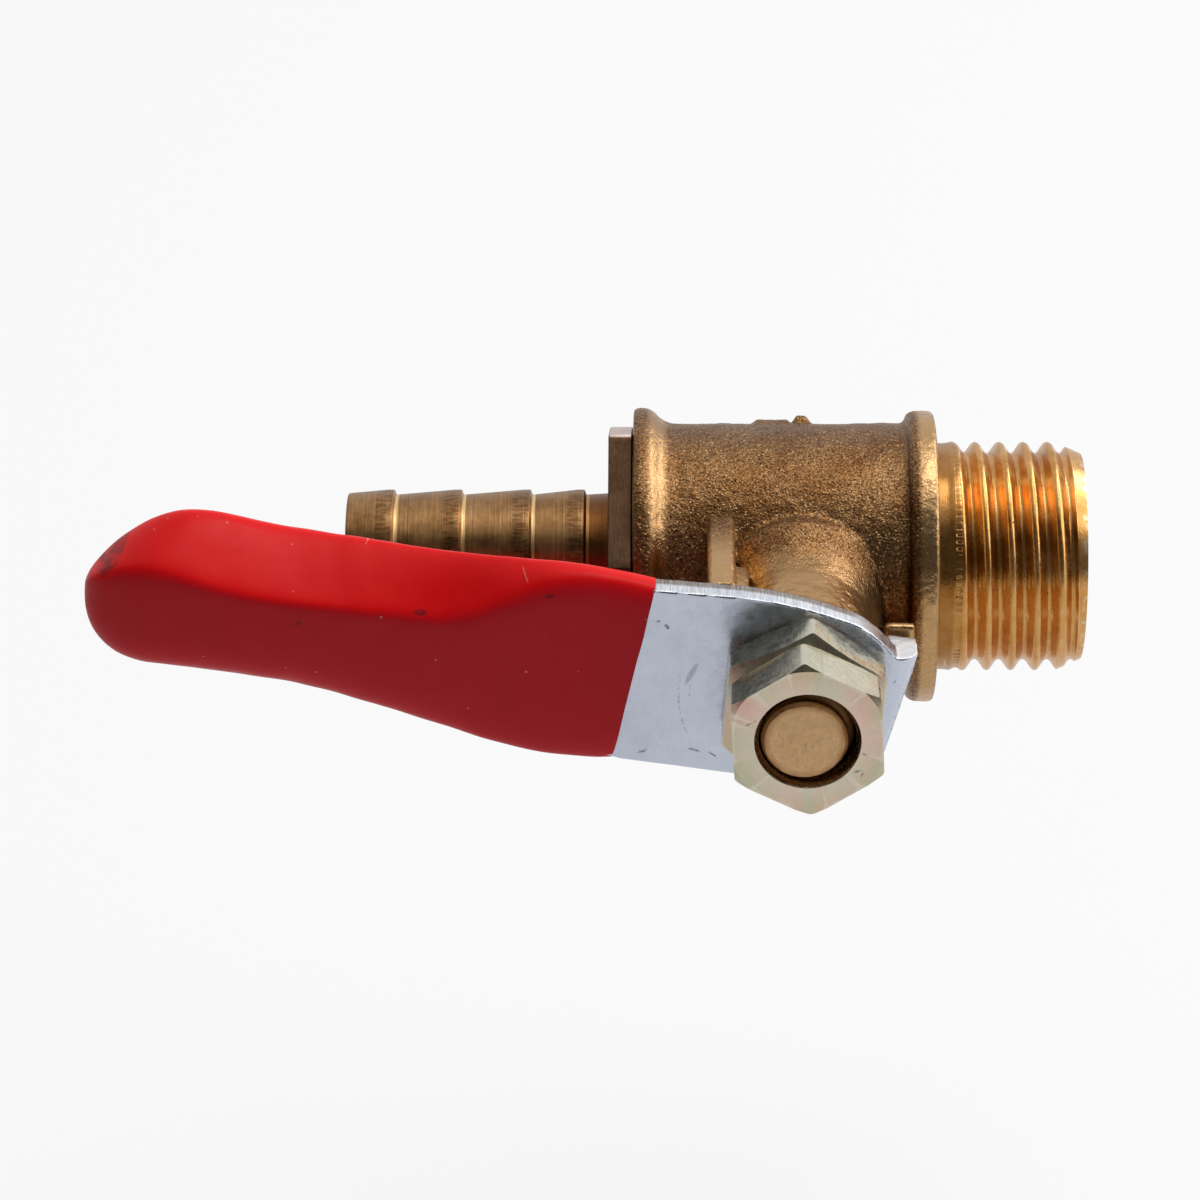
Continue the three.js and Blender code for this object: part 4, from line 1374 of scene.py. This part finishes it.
def nut_mesh(name, start, flats, face_r, turn, shift):
    """Hexagon nut: flat faces, chamfered corners, countersunk hole."""
    end = start + NUT_THICKNESS
    outline = rounded_hexagon(flats, math.radians(turn), NUT_ROUNDING, 288)
    verts = []
    for level, direction in ((start, 1), (end, -1)):
        for spoke in range(NUT_SPOKES + 1)[::direction]:
            for a, b in outline:
                reach = math.hypot(a, b)
                radius = lerp(min(face_r, reach), reach, spoke / NUT_SPOKES)
                sink = max(0.0, radius - face_r) * math.tan(NUT_CHAMFER)
                verts.append((a / reach * radius, b / reach * radius, level + direction * sink))
    count = len(outline)
    skin = (verts, joined_rings(2 * NUT_SPOKES + 2, count))
    inner_r = min(face_r, flats / 2 - 0.1)
    hole = [
        (end, inner_r),
        (end, NUT_MOUTH_R),
        (end - 0.45, NUT_HOLE_R),
        (start + 0.3, NUT_HOLE_R),
        (start, NUT_MOUTH_R),
        (start, inner_r),
    ]
    caps = []
    for level in (start, end):
        ring = revolve([(level, inner_r)], around_stem, count)[0]
        rim = verts[:count] if level == start else verts[-count:]
        caps.append((ring + rim, joined_rings(2, count)))
    mesh = make_mesh(name, [skin, revolve(hole, around_stem, count)] + caps, math.radians(22))
    for vert in mesh.vertices:
        vert.co.x += shift * MM
    return mesh


def build_nuts(material):
    start = PLATE_FRONT + NUT_GAP
    for i, node in enumerate(("lever_nut", "lock_nut")):
        mesh = nut_mesh(node + "_body", start, NUT_FLATS[i], NUT_FACE_R[i], NUT_TURN[i], NUT_SHIFT[i])
        add_piece(node + "_body", mesh, material, "lever", "yellow_zinc", node)
        start += NUT_THICKNESS + NUT_GAP


# ---------------------------------------------------------------- pieces kept from the CAD


def finish_cad_node(node, material):
    """Gives a CAD node that is kept its own material and slightly worn edges."""
    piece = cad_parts[node]
    piece.data.materials.clear()
    piece.data.materials.append(material)
    bevel = piece.modifiers.new("worn_edges", "BEVEL")
    bevel.width = 0.06 * MM
    bevel.segments = 2
    bevel.limit_method = "ANGLE"
    bevel.angle_limit = math.radians(40)


# ---------------------------------------------------------------- stage


def pale_floor():
    """Matt pale floor that looks lighter to the camera than it does to the valve."""
    look = Look("pale_floor", 0.0, 0.9)
    look.shader.inputs["Base Color"].default_value = (FLOOR_ALBEDO, FLOOR_ALBEDO, FLOOR_ALBEDO, 1)
    look.shader.inputs["Specular IOR Level"].default_value = 0.0
    glow = look.node("Emission", "Emission", {"Color": 1.0})
    share = look.times(look.node("LightPath", "Is Camera Ray"), FLOOR_GLOW)
    surface = look.node("MixShader", "Shader", {"Fac": share, 1: look.shader.outputs["BSDF"], 2: glow})
    connect(look.tree, surface, look.tree.nodes["Material Output"].inputs["Surface"])
    return look.material


def build_floor():
    """Pale floor, low enough for the lever to hang straight down over it."""
    lever_reach = math.hypot(sleeve_low.x, sleeve_high.z)
    place = Matrix.Translation((0, 0, -lever_reach - FLOOR_CLEARANCE * MM))
    mesh = bpy.data.meshes.new("floor")
    bm = bmesh.new()
    bmesh.ops.create_grid(bm, x_segments=2, y_segments=2, size=FLOOR_HALF_WIDTH, matrix=place)
    bm.to_mesh(mesh)
    bm.free()
    mesh.materials.append(pale_floor())
    placed("floor", mesh)


def add_light(name, direction, distance, size, power):
    """Square soft light that faces the middle of the valve."""
    light = bpy.data.lights.new(name, "AREA")
    light.size = size
    light.energy = power
    holder = placed(name, light)
    target = Vector((0, PIPE_Y, 0))
    away = Vector(direction).normalized()
    holder.location = target + away * distance
    holder.rotation_mode = "QUATERNION"
    holder.rotation_quaternion = (-away).to_track_quat("-Z", "Y")


def build_world():
    """Room that is dim in front and bright behind and overhead; plain pale to the camera."""
    world = bpy.data.worlds.new("studio")
    world.use_nodes = True
    tree = world.node_tree
    tree.nodes.remove(tree.nodes["Background"])
    side = {0: add_node(tree, "TexCoord", "Generated"), 1: Vector(ROOM_BRIGHT_SIDE).normalized()}
    facing = add_node(tree, "VectorMath", "Value", side, operation="DOT_PRODUCT")
    levels = {"Value": facing, "From Min": 0.05, "From Max": 0.5, "To Min": ROOM_DARK, "To Max": ROOM_BRIGHT}
    strength = add_node(tree, "MapRange", "Result", levels, interpolation_type="SMOOTHSTEP")
    room = add_node(tree, "Background", "Background", {"Color": 1.0, "Strength": strength})
    backdrop = add_node(tree, "Background", "Background", {"Color": BACKDROP, "Strength": 1.0})
    seen = add_node(tree, "LightPath", "Is Camera Ray")
    light = add_node(tree, "MixShader", "Shader", {"Fac": seen, 1: room, 2: backdrop})
    connect(tree, light, tree.nodes["World Output"].inputs["Surface"])
    bpy.context.scene.world = world


def build_camera():
    """Long lens above the front, turned slightly to the thread's side."""
    back = Vector((
        math.sin(CAMERA_AZIMUTH) * math.cos(CAMERA_ELEVATION),
        -math.cos(CAMERA_AZIMUTH) * math.cos(CAMERA_ELEVATION),
        math.sin(CAMERA_ELEVATION),
    ))
    level_right = Vector((math.cos(CAMERA_AZIMUTH), math.sin(CAMERA_AZIMUTH), 0))
    level_up = back.cross(level_right)
    right = level_right * math.cos(CAMERA_ROLL) + level_up * math.sin(CAMERA_ROLL)
    up = level_up * math.cos(CAMERA_ROLL) - level_right * math.sin(CAMERA_ROLL)
    camera = bpy.data.cameras.new("camera")
    camera.sensor_width = 36.0
    camera.lens = CAMERA_LENS
    camera.clip_start = 0.01
    camera.clip_end = 20.0
    holder = placed("camera", camera)
    ball_centre = Vector((0, PIPE_Y, 0))
    location = ball_centre + (back * CAMERA_DISTANCE + right * FRAME_RIGHT + up * FRAME_UP) * MM
    turn = Matrix((right, up, back)).transposed().to_4x4()
    holder.matrix_world = Matrix.Translation(location) @ turn
    bpy.context.scene.camera = holder


# ---------------------------------------------------------------- put together

build_body(cast_brass())
build_pipe_thread(thread_brass())
build_barb(turned_brass(), dull_brass())
build_stem(stem_brass())
build_lever(blue_zinc())
build_grip(red_vinyl())
build_nuts(yellow_zinc())

white = seat_plastic()
black = seal_rubber()
finish_cad_node("ball", plated_ball())
for ring_node in ("seat_ring_inlet", "seat_ring_outlet", "stem_thrust_washer"):
    finish_cad_node(ring_node, white)
for seal_node in ("stem_oring_lower", "stem_oring_upper"):
    finish_cad_node(seal_node, black)

build_floor()
build_world()
add_light("key_light", *KEY_LIGHT)
add_light("right_light", *RIGHT_LIGHT)
add_light("back_light", *BACK_LIGHT)
build_camera()
bpy.context.scene.view_settings.view_transform = "Standard"
